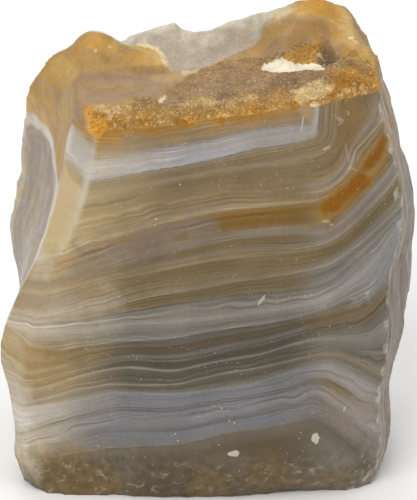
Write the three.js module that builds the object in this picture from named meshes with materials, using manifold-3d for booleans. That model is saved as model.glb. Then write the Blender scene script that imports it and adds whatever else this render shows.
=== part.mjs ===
// A raw chunk of banded chalcedony, the kind sold as agate rough: one solid natural stone that
// stands on its broken underside. Millimetres, +Z up. The banded break faces -Y and +X is its right.
import * as THREE from "three";
import { ImprovedNoise } from "three/addons/math/ImprovedNoise.js";
import { mergeVertices } from "three/addons/utils/BufferGeometryUtils.js";
import Module from "manifold-3d";

const wasm = await Module();
wasm.setup();

const { degToRad, lerp, smoothstep } = THREE.MathUtils;
const noise = new ImprovedNoise();

// The upright edges where two broken faces meet, each as [height, x, y] from the underside up.
// They are listed anticlockwise as seen from above, starting at the front face's left edge.
const frontLeft = [
  [0, -21.2, -12.8],
  [2, -23.8, -11.2],
  [5, -24.0, -11.4],
  [9, -24.5, -12.0],
  [17, -23.6, -13.0],
  [24.5, -22.3, -13.0],
  [31, -20.1, -12.2],
  [36.5, -17.3, -12.0],
  [43.4, -15.1, -12.5],
  [49.8, -13.9, -12.6],
  [53, -14.7, -11.8],
  [58, -14.7, -11.0],
];
const frontMiddle = [
  [0, -3.7, -14.0],
  [3, -3.7, -15.6],
  [14, -3.5, -16.4],
  [34, -2.5, -15.6],
  [50, -1.5, -13.6],
  [58, -1.5, -12.0],
];
const frontBend = [
  [0, 15.0, -11.6],
  [3, 16.8, -13.6],
  [14.8, 16.2, -15.0],
  [34.6, 15.2, -15.0],
  [50.3, 15.3, -13.5],
  [58, 16.2, -12.0],
];
const rightFront = [
  [0, 20.2, -11.4],
  [3.4, 22.2, -10.4],
  [11.5, 22.1, -10.2],
  [21.5, 23.1, -9.8],
  [28.5, 22.9, -9.2],
  [34.5, 24.7, -8.6],
  [44.6, 23.6, -8.2],
  [51.5, 22.0, -8.8],
  [57.5, 20.9, -10.5],
];
const rightBack = [
  [0, 24.0, 0],
  [4, 24.1, 0.5],
  [10.5, 23.9, 2],
  [18.9, 26.1, 3],
  [30.3, 27.1, 5],
  [36.7, 26.5, 5],
  [41, 25.4, 5],
  [50.4, 22.5, 5.6],
  [54.7, 20.8, 6.5],
  [60, 18.8, 6.5],
];
const backRight = [
  [0, 17.5, 13.0],
  [8, 18.6, 15.0],
  [24, 19.6, 16.2],
  [40, 18.2, 15.6],
  [52, 15.6, 13.6],
  [62, 14.0, 10.6],
];
const backMiddle = [
  [0, -2, 14.6],
  [7, -1, 17.2],
  [26, 1, 18.0],
  [44, 2.5, 15.2],
  [60, 3, 10.6],
];
const backLeft = [
  [0, -17, 11.5],
  [9, -18.4, 14.0],
  [28, -20.4, 16.4],
  [42, -18.6, 15.2],
  [52, -15.4, 12.0],
  [60, -13, 9.4],
];
const leftBack = [
  [0, -24.6, 3.5],
  [8, -24.4, 6.5],
  [16, -24.8, 8.5],
  [21.7, -25.8, 10.5],
  [27.8, -26.4, 12],
  [35.8, -25.1, 12],
  [43.4, -24.0, 10],
  [48.6, -23.4, 7.6],
  [52.3, -21.2, 7],
  [58, -18.4, 6.4],
];
const leftFront = [
  [0, -24.2, -9],
  [3.2, -25.3, -8.6],
  [7.6, -25.3, -9.2],
  [13.5, -25.6, -9.8],
  [18.9, -26.9, -9.5],
  [24.5, -25.4, -7.6],
  [32, -21.2, -5],
  [37.5, -19.4, -3.2],
  [44.4, -18.3, -3.4],
  [51.6, -16.9, -7.6],
  [58, -16.4, -8.6],
];

// The broken faces between those edges. bulge is how far a face swells out midway between its
// edges, or is hollowed where it is below 0, and columns is how many strips the face is built in.
const faces = [
  { from: frontLeft, to: frontMiddle, columns: 8, bulge: 0.3 },
  { from: frontMiddle, to: frontBend, columns: 8, bulge: 0.3 },
  { from: frontBend, to: rightFront, columns: 5, bulge: 0.5 },
  { from: rightFront, to: rightBack, columns: 12, bulge: 0.4, ribDepth: 0.45 },
  { from: rightBack, to: backRight, columns: 6, bulge: 0.8 },
  { from: backRight, to: backMiddle, columns: 8, bulge: 0.4 },
  { from: backMiddle, to: backLeft, columns: 8, bulge: 0.4 },
  { from: backLeft, to: leftBack, columns: 5, bulge: 0.6 },
  { from: leftBack, to: leftFront, columns: 9, bulge: -1.4 },
  { from: leftFront, to: frontLeft, columns: 4, bulge: 0.1 },
];

const RIBS_PER_FACE = 4; // the bark-like ledges that run up the right flank
const RIB_DRIFT = 0.035; // how far a rib wanders across its face, in ribs per millimetre of height

const BLANK_HEIGHT = 66; // taller than the stone, whose top is broken out of it below
const LEVELS = 42;

// How far the broken surface wanders from its smooth form.
const WAVE_LENGTH = 7;
const WAVE_HEIGHT = 0.35;
const PIT_LENGTH = 2.2;
const PIT_HEIGHT = 0.12;

function unevenness(x, y, z) {
  const waves = noise.noise(x / WAVE_LENGTH, y / WAVE_LENGTH, z / WAVE_LENGTH);
  const pits = noise.noise(x / PIT_LENGTH, y / PIT_LENGTH, z / PIT_LENGTH);
  return waves * WAVE_HEIGHT + pits * PIT_HEIGHT;
}

function edgeCurve(edge) {
  const heights = edge.map(([height]) => height);
  const places = edge.flatMap(([, x, y]) => [x, y]);
  return new THREE.CubicInterpolant(heights, places, 2);
}

for (const face of faces) {
  face.fromCurve = edgeCurve(face.from);
  face.toCurve = edgeCurve(face.to);
}

// Every upright strip of the stone's side: its face, and how far across that face it starts.
const strips = faces.flatMap((face) =>
  Array.from({ length: face.columns }, (_, column) => ({ face, share: column / face.columns })),
);

// A saw-toothed profile: each rib rises slowly and drops off at a ledge.
function ribProfile(share, z) {
  const phase = share * RIBS_PER_FACE + z * RIB_DRIFT;
  return phase - Math.floor(phase) - 0.5;
}

// Where a strip starts at height z.
function sidePoint({ face, share }, z) {
  const [fromX, fromY] = face.fromCurve.evaluate(z);
  const [toX, toY] = face.toCurve.evaluate(z);
  const outward = new THREE.Vector2(toY - fromY, fromX - toX).normalize();
  const x = lerp(fromX, toX, share);
  const y = lerp(fromY, toY, share);
  const swell = face.bulge * 4 * share * (1 - share);
  const rib = face.ribDepth ? face.ribDepth * ribProfile(share, z) : 0;
  const out = swell + rib + unevenness(x, y, z);
  return [x + outward.x * out, y + outward.y * out];
}

function solidFrom(geometry) {
  geometry.deleteAttribute("normal");
  geometry.deleteAttribute("uv");
  const merged = mergeVertices(geometry);
  const mesh = new wasm.Mesh({
    numProp: 3,
    vertProperties: merged.attributes.position.array,
    triVerts: new Uint32Array(merged.index.array),
  });
  return new wasm.Manifold(mesh);
}

// The blank: a drum whose sides are pushed out or in to the broken faces.
function makeBlank() {
  const drum = new THREE.CylinderGeometry(1, 1, BLANK_HEIGHT, strips.length, LEVELS);
  drum.rotateX(degToRad(90));
  drum.translate(0, 0, BLANK_HEIGHT / 2);
  const position = drum.attributes.position;
  for (let i = 0; i < position.count; i++) {
    const x = position.getX(i);
    const y = position.getY(i);
    if (Math.hypot(x, y) < 0.5) continue; // the middle of an end
    const turn = (Math.atan2(y, x) / (2 * Math.PI) + 1) % 1;
    const strip = strips[Math.round(turn * strips.length) % strips.length];
    const [sideX, sideY] = sidePoint(strip, position.getZ(i));
    position.setXY(i, sideX, sideY);
  }
  return solidFrom(drum);
}

// The top: a sugary druse plane that tilts up to the right, with crests standing behind it.
const TOP_MIDDLE = 55.2;
const TOP_TILT = 0.137;
// A slab at the left lies a little higher, up to a diagonal step.
const STEP_RISE = 0.6;
const STEP_FRONT = new THREE.Vector2(-6.6, -10.8);
const STEP_BACK = new THREE.Vector2(-1.1, -1.4);
const STEP_WIDTH = 0.8;
// The front rim is bevelled through the crust.
const RIM_DROP = 1.7;
const RIM_START = -10.9;
const RIM_END = -13.2;
// The druse's crystals leave the plane rough.
const DRUSE_LENGTH = 1.5;
const DRUSE_HEIGHT = 0.28;
const CREST_ROUND = 0.9; // the radius to which a crest is worn

// Each crest is a ridge line across the top, as [x, y, height] from the left. The stone falls
// from it towards the front and towards the back, in millimetres for each millimetre across.
const crests = [
  {
    // the golden knob, whose front runs down to the rim, and the tongue at its right
    line: [
      [-21.4, 7.4, 52.2],
      [-19.4, 7, 53.9],
      [-17.8, 6.5, 54.9],
      [-16.6, 5.6, 56.7],
      [-15.4, 5.2, 57.5],
      [-13.8, 5, 57.6],
      [-12.6, 4.8, 57.0],
      [-11.1, 4.2, 56.2],
      [-7.4, 2.5, 56.2],
      [-6.2, 1, 55.7],
      [-5.1, -1, 54.9],
      [-4, -2, 53],
    ],
    frontSlope: 0.45,
    backSlope: 1.3,
  },
  {
    // the grey fin that stands behind the druse
    line: [
      [-12.4, 5.5, 54.7],
      [-10, 5, 56.9],
      [-8.1, 4.5, 57.8],
      [-6.2, 4.2, 58.6],
      [-4.1, 4.2, 58.8],
      [-3.1, 4, 58.2],
      [-1.7, 3.4, 58.0],
      [-0.2, 3.5, 58.1],
      [1.5, 4.5, 58.5],
      [4, 6.5, 58.8],
      [6.9, 8.5, 59.3],
      [9.6, 9.5, 59.6],
      [13, 10, 59],
    ],
    frontSlope: 0.8,
    backSlope: 1.1,
  },
  {
    // the golden-brown peak at the right
    line: [
      [5.2, 3, 55.4],
      [5.9, 3.5, 56.2],
      [6.8, 5, 57.7],
      [7.9, 6, 58.7],
      [9.6, 7.5, 60.1],
      [11.1, 8, 60.8],
      [13, 8, 61.1],
      [15.6, 7.5, 60.9],
      [17.6, 6.5, 60.5],
      [18.5, 5.5, 59.8],
      [19.5, 4, 58.9],
      [20.5, 1, 57.6],
      [21.3, -4, 57.2],
    ],
    frontSlope: 0.36,
    backSlope: 0.75,
  },
];
for (const crest of crests) {
  const heights = crest.line.flatMap(([, y, height]) => [y, height]);
  const places = crest.line.map(([x]) => x);
  crest.curve = new THREE.LinearInterpolant(places, heights, 2);
  crest.start = places[0];
  crest.end = places.at(-1);
}

// Lumps and pockets on the druse: the middle, the rise and the reach each way.
const lumps = [
  { x: 18.9, y: -0.6, rise: 0.8, reachX: 1.7, reachY: 3.2 }, // the golden lumps at the right edge
  { x: 19.0, y: -9.8, rise: 0.5, reachX: 2.2, reachY: 2.2 }, // the thick front right corner
  { x: 10.8, y: -2.4, rise: -1.0, reachX: 4.6, reachY: 2.0 }, // the pocket before the peak
  { x: 15.8, y: -2.6, rise: -0.8, reachX: 1.8, reachY: 2.4 }, // the dark pocket beside it
  { x: 15.2, y: -10.2, rise: 0.5, reachX: 3.0, reachY: 2.0 }, // the crust that hangs over the front
];

function topHeight(x, y) {
  const along = STEP_BACK.clone().sub(STEP_FRONT).normalize();
  const leftOfStep = along.x * (y - STEP_FRONT.y) - along.y * (x - STEP_FRONT.x);
  const step = STEP_RISE * smoothstep(leftOfStep, -STEP_WIDTH / 2, STEP_WIDTH / 2);
  let height = TOP_MIDDLE + TOP_TILT * x + step;
  for (const { curve, start, end, frontSlope, backSlope } of crests) {
    if (x < start || x > end) continue;
    const [crestY, crestHeight] = curve.evaluate(x);
    const slope = y < crestY ? frontSlope : backSlope;
    const away = Math.hypot(y - crestY, CREST_ROUND) - CREST_ROUND;
    height = Math.max(height, crestHeight - slope * away);
  }
  for (const { x: middleX, y: middleY, rise, reachX, reachY } of lumps) {
    const away = Math.hypot((x - middleX) / reachX, (y - middleY) / reachY);
    height += rise * Math.exp(-(away ** 3));
  }
  height -= RIM_DROP * (1 - smoothstep(y, RIM_END, RIM_START));
  height += DRUSE_HEIGHT * noise.noise(x / DRUSE_LENGTH, y / DRUSE_LENGTH, 0);
  return height;
}

// What was above the stone: a block whose underside is the top of the stone.
const SKY = { width: 60, depth: 44, top: 80, columns: 66, rows: 48 };

function makeSky() {
  const block = new THREE.BoxGeometry(SKY.width, SKY.depth, 2, SKY.columns, SKY.rows, 1);
  const position = block.attributes.position;
  for (let i = 0; i < position.count; i++) {
    const isUnderside = position.getZ(i) < 0;
    const z = isUnderside ? topHeight(position.getX(i), position.getY(i)) : SKY.top;
    position.setZ(i, z);
  }
  return solidFrom(block);
}

// Chips struck off the edges: shallow shells left by a blow. at is the middle of the scar, toward
// points out of the stone, and a bigger radius leaves a flatter scar.
const chips = [
  { at: [-1.5, -15.2, 0.6], toward: [0, -1, -0.7], radius: 8, depth: 0.8 },
  { at: [15.8, -13.8, 1.0], toward: [0.3, -1, -0.7], radius: 6, depth: 0.6 },
  { at: [-11.5, -14.4, 1.2], toward: [-0.2, -1, -0.7], radius: 6, depth: 0.6 },
  { at: [-25.4, -1.0, 5], toward: [-1, 0.1, -0.3], radius: 14, depth: 0.7 },
  { at: [11, 17.4, 38], toward: [0.5, 1, 0.3], radius: 70, depth: 3.0 },
  { at: [-8, 17.8, 31], toward: [-0.3, 1, 0.1], radius: 80, depth: 2.6 },
  { at: [1, 17.4, 10], toward: [0.1, 1, -0.35], radius: 70, depth: 2.6 },
  { at: [20.5, 14.2, 17], toward: [1, 1, -0.2], radius: 50, depth: 2.0 },
  { at: [-1, 12.4, 52], toward: [-0.05, 1, 0.9], radius: 60, depth: 1.7 },
];

const SCAR_FACET = 3; // about how wide the facets inside a scar are

function makeChip({ at, toward, radius, depth }) {
  const ball = new THREE.IcosahedronGeometry(radius, Math.round(radius / SCAR_FACET));
  const outward = new THREE.Vector3(...toward).normalize();
  const middle = new THREE.Vector3(...at).addScaledVector(outward, radius - depth);
  ball.translate(middle.x, middle.y, middle.z);
  return solidFrom(ball);
}

let stone = makeBlank().subtract(makeSky());
for (const chip of chips) {
  stone = stone.subtract(makeChip(chip));
}

// The stone's geometry, with its origin under the middle of its bounding box.
const cut = stone.getMesh();
const geometry = new THREE.BufferGeometry();
geometry.setAttribute("position", new THREE.BufferAttribute(cut.vertProperties, 3));
geometry.setIndex(new THREE.BufferAttribute(cut.triVerts, 1));
geometry.computeBoundingBox();
const middle = geometry.boundingBox.getCenter(new THREE.Vector3());
geometry.translate(-middle.x, -middle.y, -geometry.boundingBox.min.z);
geometry.computeVertexNormals();

const chalcedony = new THREE.MeshStandardMaterial({
  color: 0x857a69,
  roughness: 0.45,
  metalness: 0,
});
const agate = new THREE.Mesh(geometry, chalcedony);
agate.name = "agate";

const rawAgate = new THREE.Group();
rawAgate.add(agate);
export default rawAgate;
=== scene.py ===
"""The looks of a raw chunk of banded agate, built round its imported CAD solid. Metres, +Z up."""

import math

import bpy
import numpy as np
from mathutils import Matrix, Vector, noise


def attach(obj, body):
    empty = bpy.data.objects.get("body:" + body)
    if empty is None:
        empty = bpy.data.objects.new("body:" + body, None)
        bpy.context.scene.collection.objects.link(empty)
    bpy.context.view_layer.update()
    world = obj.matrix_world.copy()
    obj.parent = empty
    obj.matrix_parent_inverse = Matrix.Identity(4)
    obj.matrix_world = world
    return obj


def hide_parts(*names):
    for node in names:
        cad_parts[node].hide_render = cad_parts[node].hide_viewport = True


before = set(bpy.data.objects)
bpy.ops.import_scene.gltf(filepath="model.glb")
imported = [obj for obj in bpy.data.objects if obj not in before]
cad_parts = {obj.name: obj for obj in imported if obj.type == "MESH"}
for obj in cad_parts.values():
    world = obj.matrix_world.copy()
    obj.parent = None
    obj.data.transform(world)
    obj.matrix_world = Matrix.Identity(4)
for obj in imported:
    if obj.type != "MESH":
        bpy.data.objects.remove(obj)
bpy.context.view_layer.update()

MM = 0.001


# --- The camera -------------------------------------------------------------------------------------
# A long lens 45 cm from the stone, square to its banded front, from where it looks down on it by
# 25 degrees.
LOOK_DOWN = math.radians(25)
CAMERA_AWAY = 450 * MM
LOOK_AT = Vector((-0.136, -0.865, 29.0)) * MM
FOCAL_LENGTH = 249.2  # in millimetres, as the sensor's width is
SENSOR_WIDTH = 36
SIGHT_FROM = 0.01  # how near and how far the camera sees, in metres
SIGHT_TO = 20

camera_data = bpy.data.cameras.new("long_lens")
camera_data.lens = FOCAL_LENGTH
camera_data.sensor_width = SENSOR_WIDTH
camera_data.clip_start = SIGHT_FROM
camera_data.clip_end = SIGHT_TO
camera = bpy.data.objects.new("long_lens", camera_data)
bpy.context.scene.collection.objects.link(camera)
sight = Vector((0, math.cos(LOOK_DOWN), -math.sin(LOOK_DOWN)))
camera.location = LOOK_AT - sight * CAMERA_AWAY
camera.rotation_euler = sight.to_track_quat("-Z", "Y").to_euler()
bpy.context.scene.camera = camera
bpy.context.scene.view_settings.view_transform = "Standard"


# --- The table and the light ------------------------------------------------------------------------
# A sheet of matt white paper that the stone stands on, in a white room, under a big soft box ahead
# and weaker ones above, behind and at the right.
TABLE_SIZE = 4
PAPER_WHITE = "#F4F3F1"
PAPER_ROUGHNESS = 0.95  # uncoated paper: no gloss at all
PAPER_GLOSS = 0.1
ROOM_WHITE = "#FBFBFF"
ROOM_STRENGTH = 0.42
# Each soft box: its name, where it hangs in metres, its size and its power in watts.
SOFT_BOXES = (
    ("front_box", (-0.55, -0.95, 1.15), 0.9, 12.6),
    ("right_box", (1.1, -0.5, 0.8), 0.7, 3.3),
    ("back_box", (-0.3, 1.0, 1.0), 0.8, 4.0),
    ("top_box", (0.1, 0.1, 1.5), 1.0, 6.5),
)


def linear(hex_colour):
    """An sRGB hex colour as linear red, green and blue, and an alpha of 1."""
    channels = [int(hex_colour[at : at + 2], 16) / 255 for at in (1, 3, 5)]
    curved = [c / 12.92 if c <= 0.04045 else ((c + 0.055) / 1.055) ** 2.4 for c in channels]
    return [*curved, 1.0]


bpy.ops.object.select_all(action="DESELECT")
bpy.ops.mesh.primitive_plane_add(size=TABLE_SIZE, location=(0, 0, 0))
table = bpy.context.object
table.name = "table_paper"
paper = bpy.data.materials.new("matt_paper")
paper.use_nodes = True
paper_shader = paper.node_tree.nodes["Principled BSDF"]
paper_shader.inputs["Base Color"].default_value = linear(PAPER_WHITE)
paper_shader.inputs["Roughness"].default_value = PAPER_ROUGHNESS
paper_shader.inputs["Specular IOR Level"].default_value = PAPER_GLOSS
table.data.materials.append(paper)

room = bpy.data.worlds.new("white_room")
room.use_nodes = True
room.node_tree.nodes["Background"].inputs["Color"].default_value = linear(ROOM_WHITE)
room.node_tree.nodes["Background"].inputs["Strength"].default_value = ROOM_STRENGTH
bpy.context.scene.world = room

for name, hung_at, size, power in SOFT_BOXES:
    lamp = bpy.data.lights.new(name, "AREA")
    lamp.size = size
    lamp.energy = power
    soft_box = bpy.data.objects.new(name, lamp)
    soft_box.location = hung_at
    soft_box.rotation_euler = (LOOK_AT - Vector(hung_at)).to_track_quat("-Z", "Y").to_euler()
    bpy.context.scene.collection.objects.link(soft_box)


# --- The stone --------------------------------------------------------------------------------------
# One piece of chalcedony, fine quartz that grew in layers on a cavity's wall. It was broken out of
# the rock, so its faces are breaks, and its top is the sugary skin that faced the cavity.
SAME_CORNER = 0.001 * MM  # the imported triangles' corners are one where they lie nearer than this
SKIN_GRID = 0.44 * MM  # how finely the stone's skin is divided
FINE_FROM = 49.5 * MM  # above this height the skin is divided twice as finely
FINE_TO = 6 * MM  # and not behind this

stone_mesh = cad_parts["agate"].data.copy()
stone = bpy.data.objects.new("agate_stone", stone_mesh)
bpy.context.scene.collection.objects.link(stone)
bpy.ops.object.select_all(action="DESELECT")
stone.select_set(True)
bpy.context.view_layer.objects.active = stone
bpy.ops.object.mode_set(mode="EDIT")
bpy.ops.mesh.select_all(action="SELECT")
bpy.ops.mesh.remove_doubles(threshold=SAME_CORNER)
bpy.ops.object.mode_set(mode="OBJECT")
skin = stone.modifiers.new("skin", "REMESH")
skin.mode = "VOXEL"
skin.voxel_size = SKIN_GRID
bpy.ops.object.modifier_apply(modifier="skin")
for face in stone.data.polygons:
    face.select = face.center.z > FINE_FROM and face.normal.z > -0.2 and face.center.y < FINE_TO
bpy.ops.object.mode_set(mode="EDIT")
bpy.ops.mesh.select_mode(type="FACE")
bpy.ops.mesh.subdivide(number_cuts=1, smoothness=1.0)
bpy.ops.object.mode_set(mode="OBJECT")
bpy.ops.object.shade_smooth()

# From here to the end of the body, places and heights are in millimetres.
count = len(stone.data.vertices)
place = np.empty(count * 3)
stone.data.vertices.foreach_get("co", place)
place = place.reshape(-1, 3) / MM
facing = np.empty(count * 3)
stone.data.vertices.foreach_get("normal", facing)
facing = facing.reshape(-1, 3)
x, y, z = place.T


def grain(size, seed=0.0, stretch=(1, 1, 1)):
    """Smooth noise from -1 to 1 at every vertex, its lumps size millimetres across."""
    points = place / (size * np.array(stretch)) + seed
    return np.array([noise.noise(point) for point in points])


def fade(value, start, end):
    """Rises smoothly from 0 at start to 1 at end."""
    share = np.clip((value - start) / (end - start), 0, 1)
    return share * share * (3 - 2 * share)


def read_off(line, at):
    """The second number of a line of points, read off where the first one is as given."""
    return np.interp(at, *zip(*line))


FAR_AWAY = 1e9  # farther than any point, in millimetres


def depth_inside(outline, across, along):
    """How far points lie inside a closed outline, in millimetres, and outside it if negative."""
    nearest = np.full(len(across), FAR_AWAY)
    inside = np.zeros(len(across), dtype=bool)
    for start, end in zip(outline, (*outline[1:], outline[0])):
        run = np.subtract(end, start)
        from_start = across - start[0], along - start[1]
        share = np.clip((from_start[0] * run[0] + from_start[1] * run[1]) / (run @ run), 0, 1)
        away = np.hypot(from_start[0] - share * run[0], from_start[1] - share * run[1])
        nearest = np.minimum(nearest, away)
        crossed = (start[1] > along) != (end[1] > along)
        rise = run[1] if run[1] else 1
        inside ^= crossed & (across < start[0] + from_start[1] / rise * run[0])
    return np.where(inside, nearest, -nearest)


# Where the crust of fine quartz starts on the front, as x and height.
RIM = (
    (-17, 50.7), (-15, 50.2), (-13.6, 50.4), (-12.6, 51.5), (-10, 51.6), (-6, 52.1), (-3, 52.4), (0, 53),
    (4, 53.6), (8, 54.3), (11.2, 54.9), (13.5, 54.8), (15.5, 55.3), (17, 55.6), (21, 55.6),
)
# At the left it ends at a crest line, as y and x. Past it the break is smooth.
CREST = ((-14, -17.2), (-8, -17), (-4, -17), (-2, -17.4), (0, -18.4), (3, -20.2), (6, -22.5), (10, -26))
# At the back it ends along the fin's crest, as x and y.
BACK_CREST = (
    (-24, 7), (-20, 6), (-18, 5), (-15, 4.1), (-12, 3.8), (-11, 4.6), (-9, 4.5), (-3, 3.9), (-1, 3.4),
    (2, 4.8), (5, 5.8), (10, 5.8), (14.5, 6.6), (18, 7), (20, 6), (21.5, 5),
)
above_rim = z - read_off(RIM, x)
above_rim = np.minimum(above_rim, x - read_off(CREST, y))
above_rim = np.minimum(above_rim, read_off(BACK_CREST, x) - y + 0.35 * grain(1.6, 77))
# On the right flank its foot climbs toward the back, and wanders.
FOOT_CLIMB = 0.05
FOOT_WANDER = 0.45
climb = FOOT_CLIMB * np.clip(y + 11, 0, 20) + FOOT_WANDER * grain(2.2, 83)
above_rim -= climb * fade(x, 16, 19)
crust = fade(above_rim, -0.15, 0.2)

# The upright edge between the front and the right flank, as height and y.
RIGHT_EDGE = (
    (0, -12.3), (3.4, -11.3), (11.5, -11.1), (21.5, -10.7), (28.5, -10.1), (34.5, -9.5), (44.6, -9.1),
    (51.5, -9.7), (57.5, -11.4),
)
behind_right = y - read_off(RIGHT_EDGE, z)
right_flank = fade(behind_right + 0.25 * grain(2.5), -0.2, 0.7) * fade(x, 14, 18)
# The two upright edges of the bevelled front corner: to the left flank as height and y, and to the
# front as height and x.
LEFT_EDGE = (
    (0, -9.9), (7.6, -10.1), (18.9, -10.4), (24.5, -8.5), (32, -5.9), (37.5, -4.1), (44.4, -4.3),
    (51.6, -8.5), (58, -9.5),
)
FRONT_LEFT_EDGE = (
    (0, -21.3), (2, -23.9), (5, -24.1), (9, -24.6), (17, -23.7), (24.5, -22.4), (31, -20.2), (36.5, -17.4),
    (43.4, -15.2), (49.8, -14), (53, -14),
)
behind_left = y - read_off(LEFT_EDGE, z)
left_flank = fade(behind_left, -0.2, 0.8) * fade(-x, 10, 14)
past_front_left = read_off(FRONT_LEFT_EDGE, z) - x

# The forms of the top, as x and y in plan. A golden tongue runs from the knob over the foot of a
# smooth grey fin. A slanting step parts the left slab from the druse, and a pocket lies by the peak.
TONGUE = (
    (-24, 8), (-19, 4.5), (-17, 1), (-16.5, -2), (-14.5, -3), (-12.5, -2.2), (-10.4, -2.2), (-9.6, -3.4),
    (-8, -4), (-5.7, -4.4), (-4.7, -4.3), (-5.4, -1.9), (-6.3, -0.4), (-7.5, 0.9), (-10.1, 2.1),
    (-12.2, 3.5), (-14, 8),
)
FIN = (
    (-12.2, 3.5), (-10.1, 2.1), (-7.5, 0.9), (-6.3, -0.4), (-5.4, -1.9), (-4.7, -4.3), (-3.4, -4.3),
    (-1.1, -2.8), (0.8, -1.5), (2.4, -0.4), (3.9, 1), (5.2, 2), (7.4, 2.3), (8, 3.2), (8.4, 8.5), (-13, 9.5),
)
SLAB = (
    (-18, -14), (-6.6, -14), (-6.4, -12), (-5.4, -10.2), (-4, -8), (-2.8, -6.2), (-1.5, -4.2), (-0.6, -2.7),
    (-3.4, -4.3), (-4.7, -4.3), (-5.4, -1.9), (-7.5, 0.9), (-12, 3.5), (-18, 6),
)
CHALK = (
    (6.8, -1.9), (8.4, -1.8), (9.4, -2), (10.3, -2.8), (11.8, -3.6), (13.2, -3.9), (14.2, -4.3), (14.4, -8),
    (13.3, -7.7), (12, -7), (10.9, -7.2), (9, -6.8), (7.6, -5.9), (6.6, -5.2), (6.4, -3.6),
)
POCKET_WALL = ((9.2, -2), (11, -1.5), (14.3, -1), (14.2, -2.2), (13.3, -3.9), (11.8, -3.6), (10.3, -2.8))
HOLLOW = (
    (14.3, -1), (15.4, -1.4), (16.2, -3), (16, -5), (15.2, -6.6), (14.3, -6.8), (14.2, -4.3), (13.4, -3.8),
    (14.1, -2.2),
)
# Where the crust is sugary: the druse and the peak's foot. The rim is too, in a band along the front.
DRUSE = (
    (-6.6, -15), (-6.2, -12), (-5.4, -10.2), (-4, -8), (-2.8, -6.2), (-1.5, -4.2), (-0.6, -2.7), (0.8, -1.6),
    (2.4, -0.8), (5.2, -0.6), (8, -1.2), (12, -1), (15.5, -1.4), (17, -3.4), (19.5, -4), (20.6, -6),
    (20.8, -10), (20, -15),
)
in_tongue = depth_inside(TONGUE, x, y)
in_fin = depth_inside(FIN, x, y)
in_slab = depth_inside(SLAB, x, y)
in_chalk = depth_inside(CHALK, x, y)
in_hollow = depth_inside(HOLLOW, x, y)
rim_band = fade(-y, 11.4, 12.3) * fade(x, -16.8, -16)
sugary = crust * np.maximum(fade(depth_inside(DRUSE, x, y), -0.1, 0.5), rim_band)
sugary *= 1 - np.maximum(fade(in_fin, -0.1, 0.2), fade(in_chalk, -0.2, 0))

# The relief that the break and the growth left, in millimetres out of the stone. The right flank
# broke in low steps, from layer to layer on end, and the foot is rough. Each grain has broad lumps
# and fine ones.
TERRACE = 0.42  # from one step to the next
TERRACE_SHARE = 0.55  # how much of a step stands out
TERRACE_GRAIN = 0.05
BREAK_GRAIN = (0.05, 0.018)
LEFT_GRAIN = (0.12, 0.10)
FOOT_GRAIN = (0.35, 0.10)
SUGAR_GRAIN = (0.09, 0.07)
swell = 1.2 * grain(6.5, 19, stretch=(1, 1, 3.6)) + 0.4 * grain(2.0, 23, stretch=(1, 1, 6))
swell += 0.14 * grain(0.9, 27, stretch=(1, 1, 9))
toward_back = 0.26 * behind_right
terrace = (swell + toward_back) / TERRACE
step = terrace - np.floor(terrace)
stepped = TERRACE * (np.floor(terrace) + fade(step, 0.6, 1.0))
foot = fade(-z, -7.2, -2.0)
upward = crust * fade(facing[:, 2], 0.15, 0.5)
relief = BREAK_GRAIN[0] * grain(3.2) + BREAK_GRAIN[1] * grain(1.0)
relief += right_flank * TERRACE_SHARE * (stepped - toward_back)
relief += right_flank * TERRACE_GRAIN * grain(0.8, stretch=(1, 1, 5))
left_grain = LEFT_GRAIN[1] * grain(1.2, stretch=(1, 1, 3)) + LEFT_GRAIN[0] * grain(2.8, 9)
relief += left_flank * (1 - crust) * left_grain
relief += foot * (FOOT_GRAIN[0] * (0.3 - np.abs(grain(3.4, 7))) + FOOT_GRAIN[1] * grain(1.1, 3))
relief += sugary * upward * (SUGAR_GRAIN[1] * grain(0.5, 5) + SUGAR_GRAIN[0] * grain(1.4, 2))
place = place + facing * relief[:, None]

# How far the forms of the top stand up or lie deep, in millimetres.
TONGUE_RISE = 0.8
SLAB_RISE = 0.3
FIN_DROP = 0.5
CHALK_DROP = 0.5
HOLLOW_DROP = 0.7
SHOULDER_LUMPS = 0.35
lift = TONGUE_RISE * fade(in_tongue, -0.1, 0.6) * fade(x, -13, -9)
lift += SLAB_RISE * fade(in_slab, -0.08, 0.18) * fade(-y, -1, 3) * fade(x, -13, -8)
lift -= FIN_DROP * fade(in_fin, -0.1, 1.6) * fade(-y, -3.5, -1.0)
lift -= CHALK_DROP * fade(in_chalk, -0.5, 0.4)
lift -= HOLLOW_DROP * fade(in_hollow, -0.3, 0.9)
lift += SHOULDER_LUMPS * crust * np.maximum(grain(2.6, 41), 0) * fade(x, 16, 18) * fade(y, -8, -4)
place[:, 2] += upward * lift

# How much the crest of the fin and the peak rises or falls beyond the cut solid, along x, and the
# height along x from which it does.
CREST_LIFT = (
    (-20.5, 0), (-19.3, -0.9), (-18.3, -0.9), (-17.2, -0.4), (-16, 0), (-12, 0), (-10.8, 0.4), (-9.8, 0),
    (-5.5, 0), (-4.5, 0.35), (-3.6, -0.2), (-2.8, 0), (1.5, 0.1), (3.7, 0.45), (4.8, 0.9), (5.8, 1.2),
    (6.8, 1.6), (7.9, 1.2), (9, 0.8), (12, 0.9), (14.2, 0.45), (15.2, 0), (16.3, -0.4), (18.3, -0.6),
    (19.3, -1.3), (20.3, -1.2), (21.4, -0.5),
)
CREST_FOOT = ((0, 55.9), (17, 57.9), (19.5, 56.2))
CREST_FADE = 1.7
place[:, 2] += read_off(CREST_LIFT, x) * fade(z - read_off(CREST_FOOT, x), 0, CREST_FADE)
place[:, 2] = np.maximum(place[:, 2], 0)
stone.data.vertices.foreach_set("co", (place * MM).ravel())
stone.data.update()
x, y, z = place.T

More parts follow.
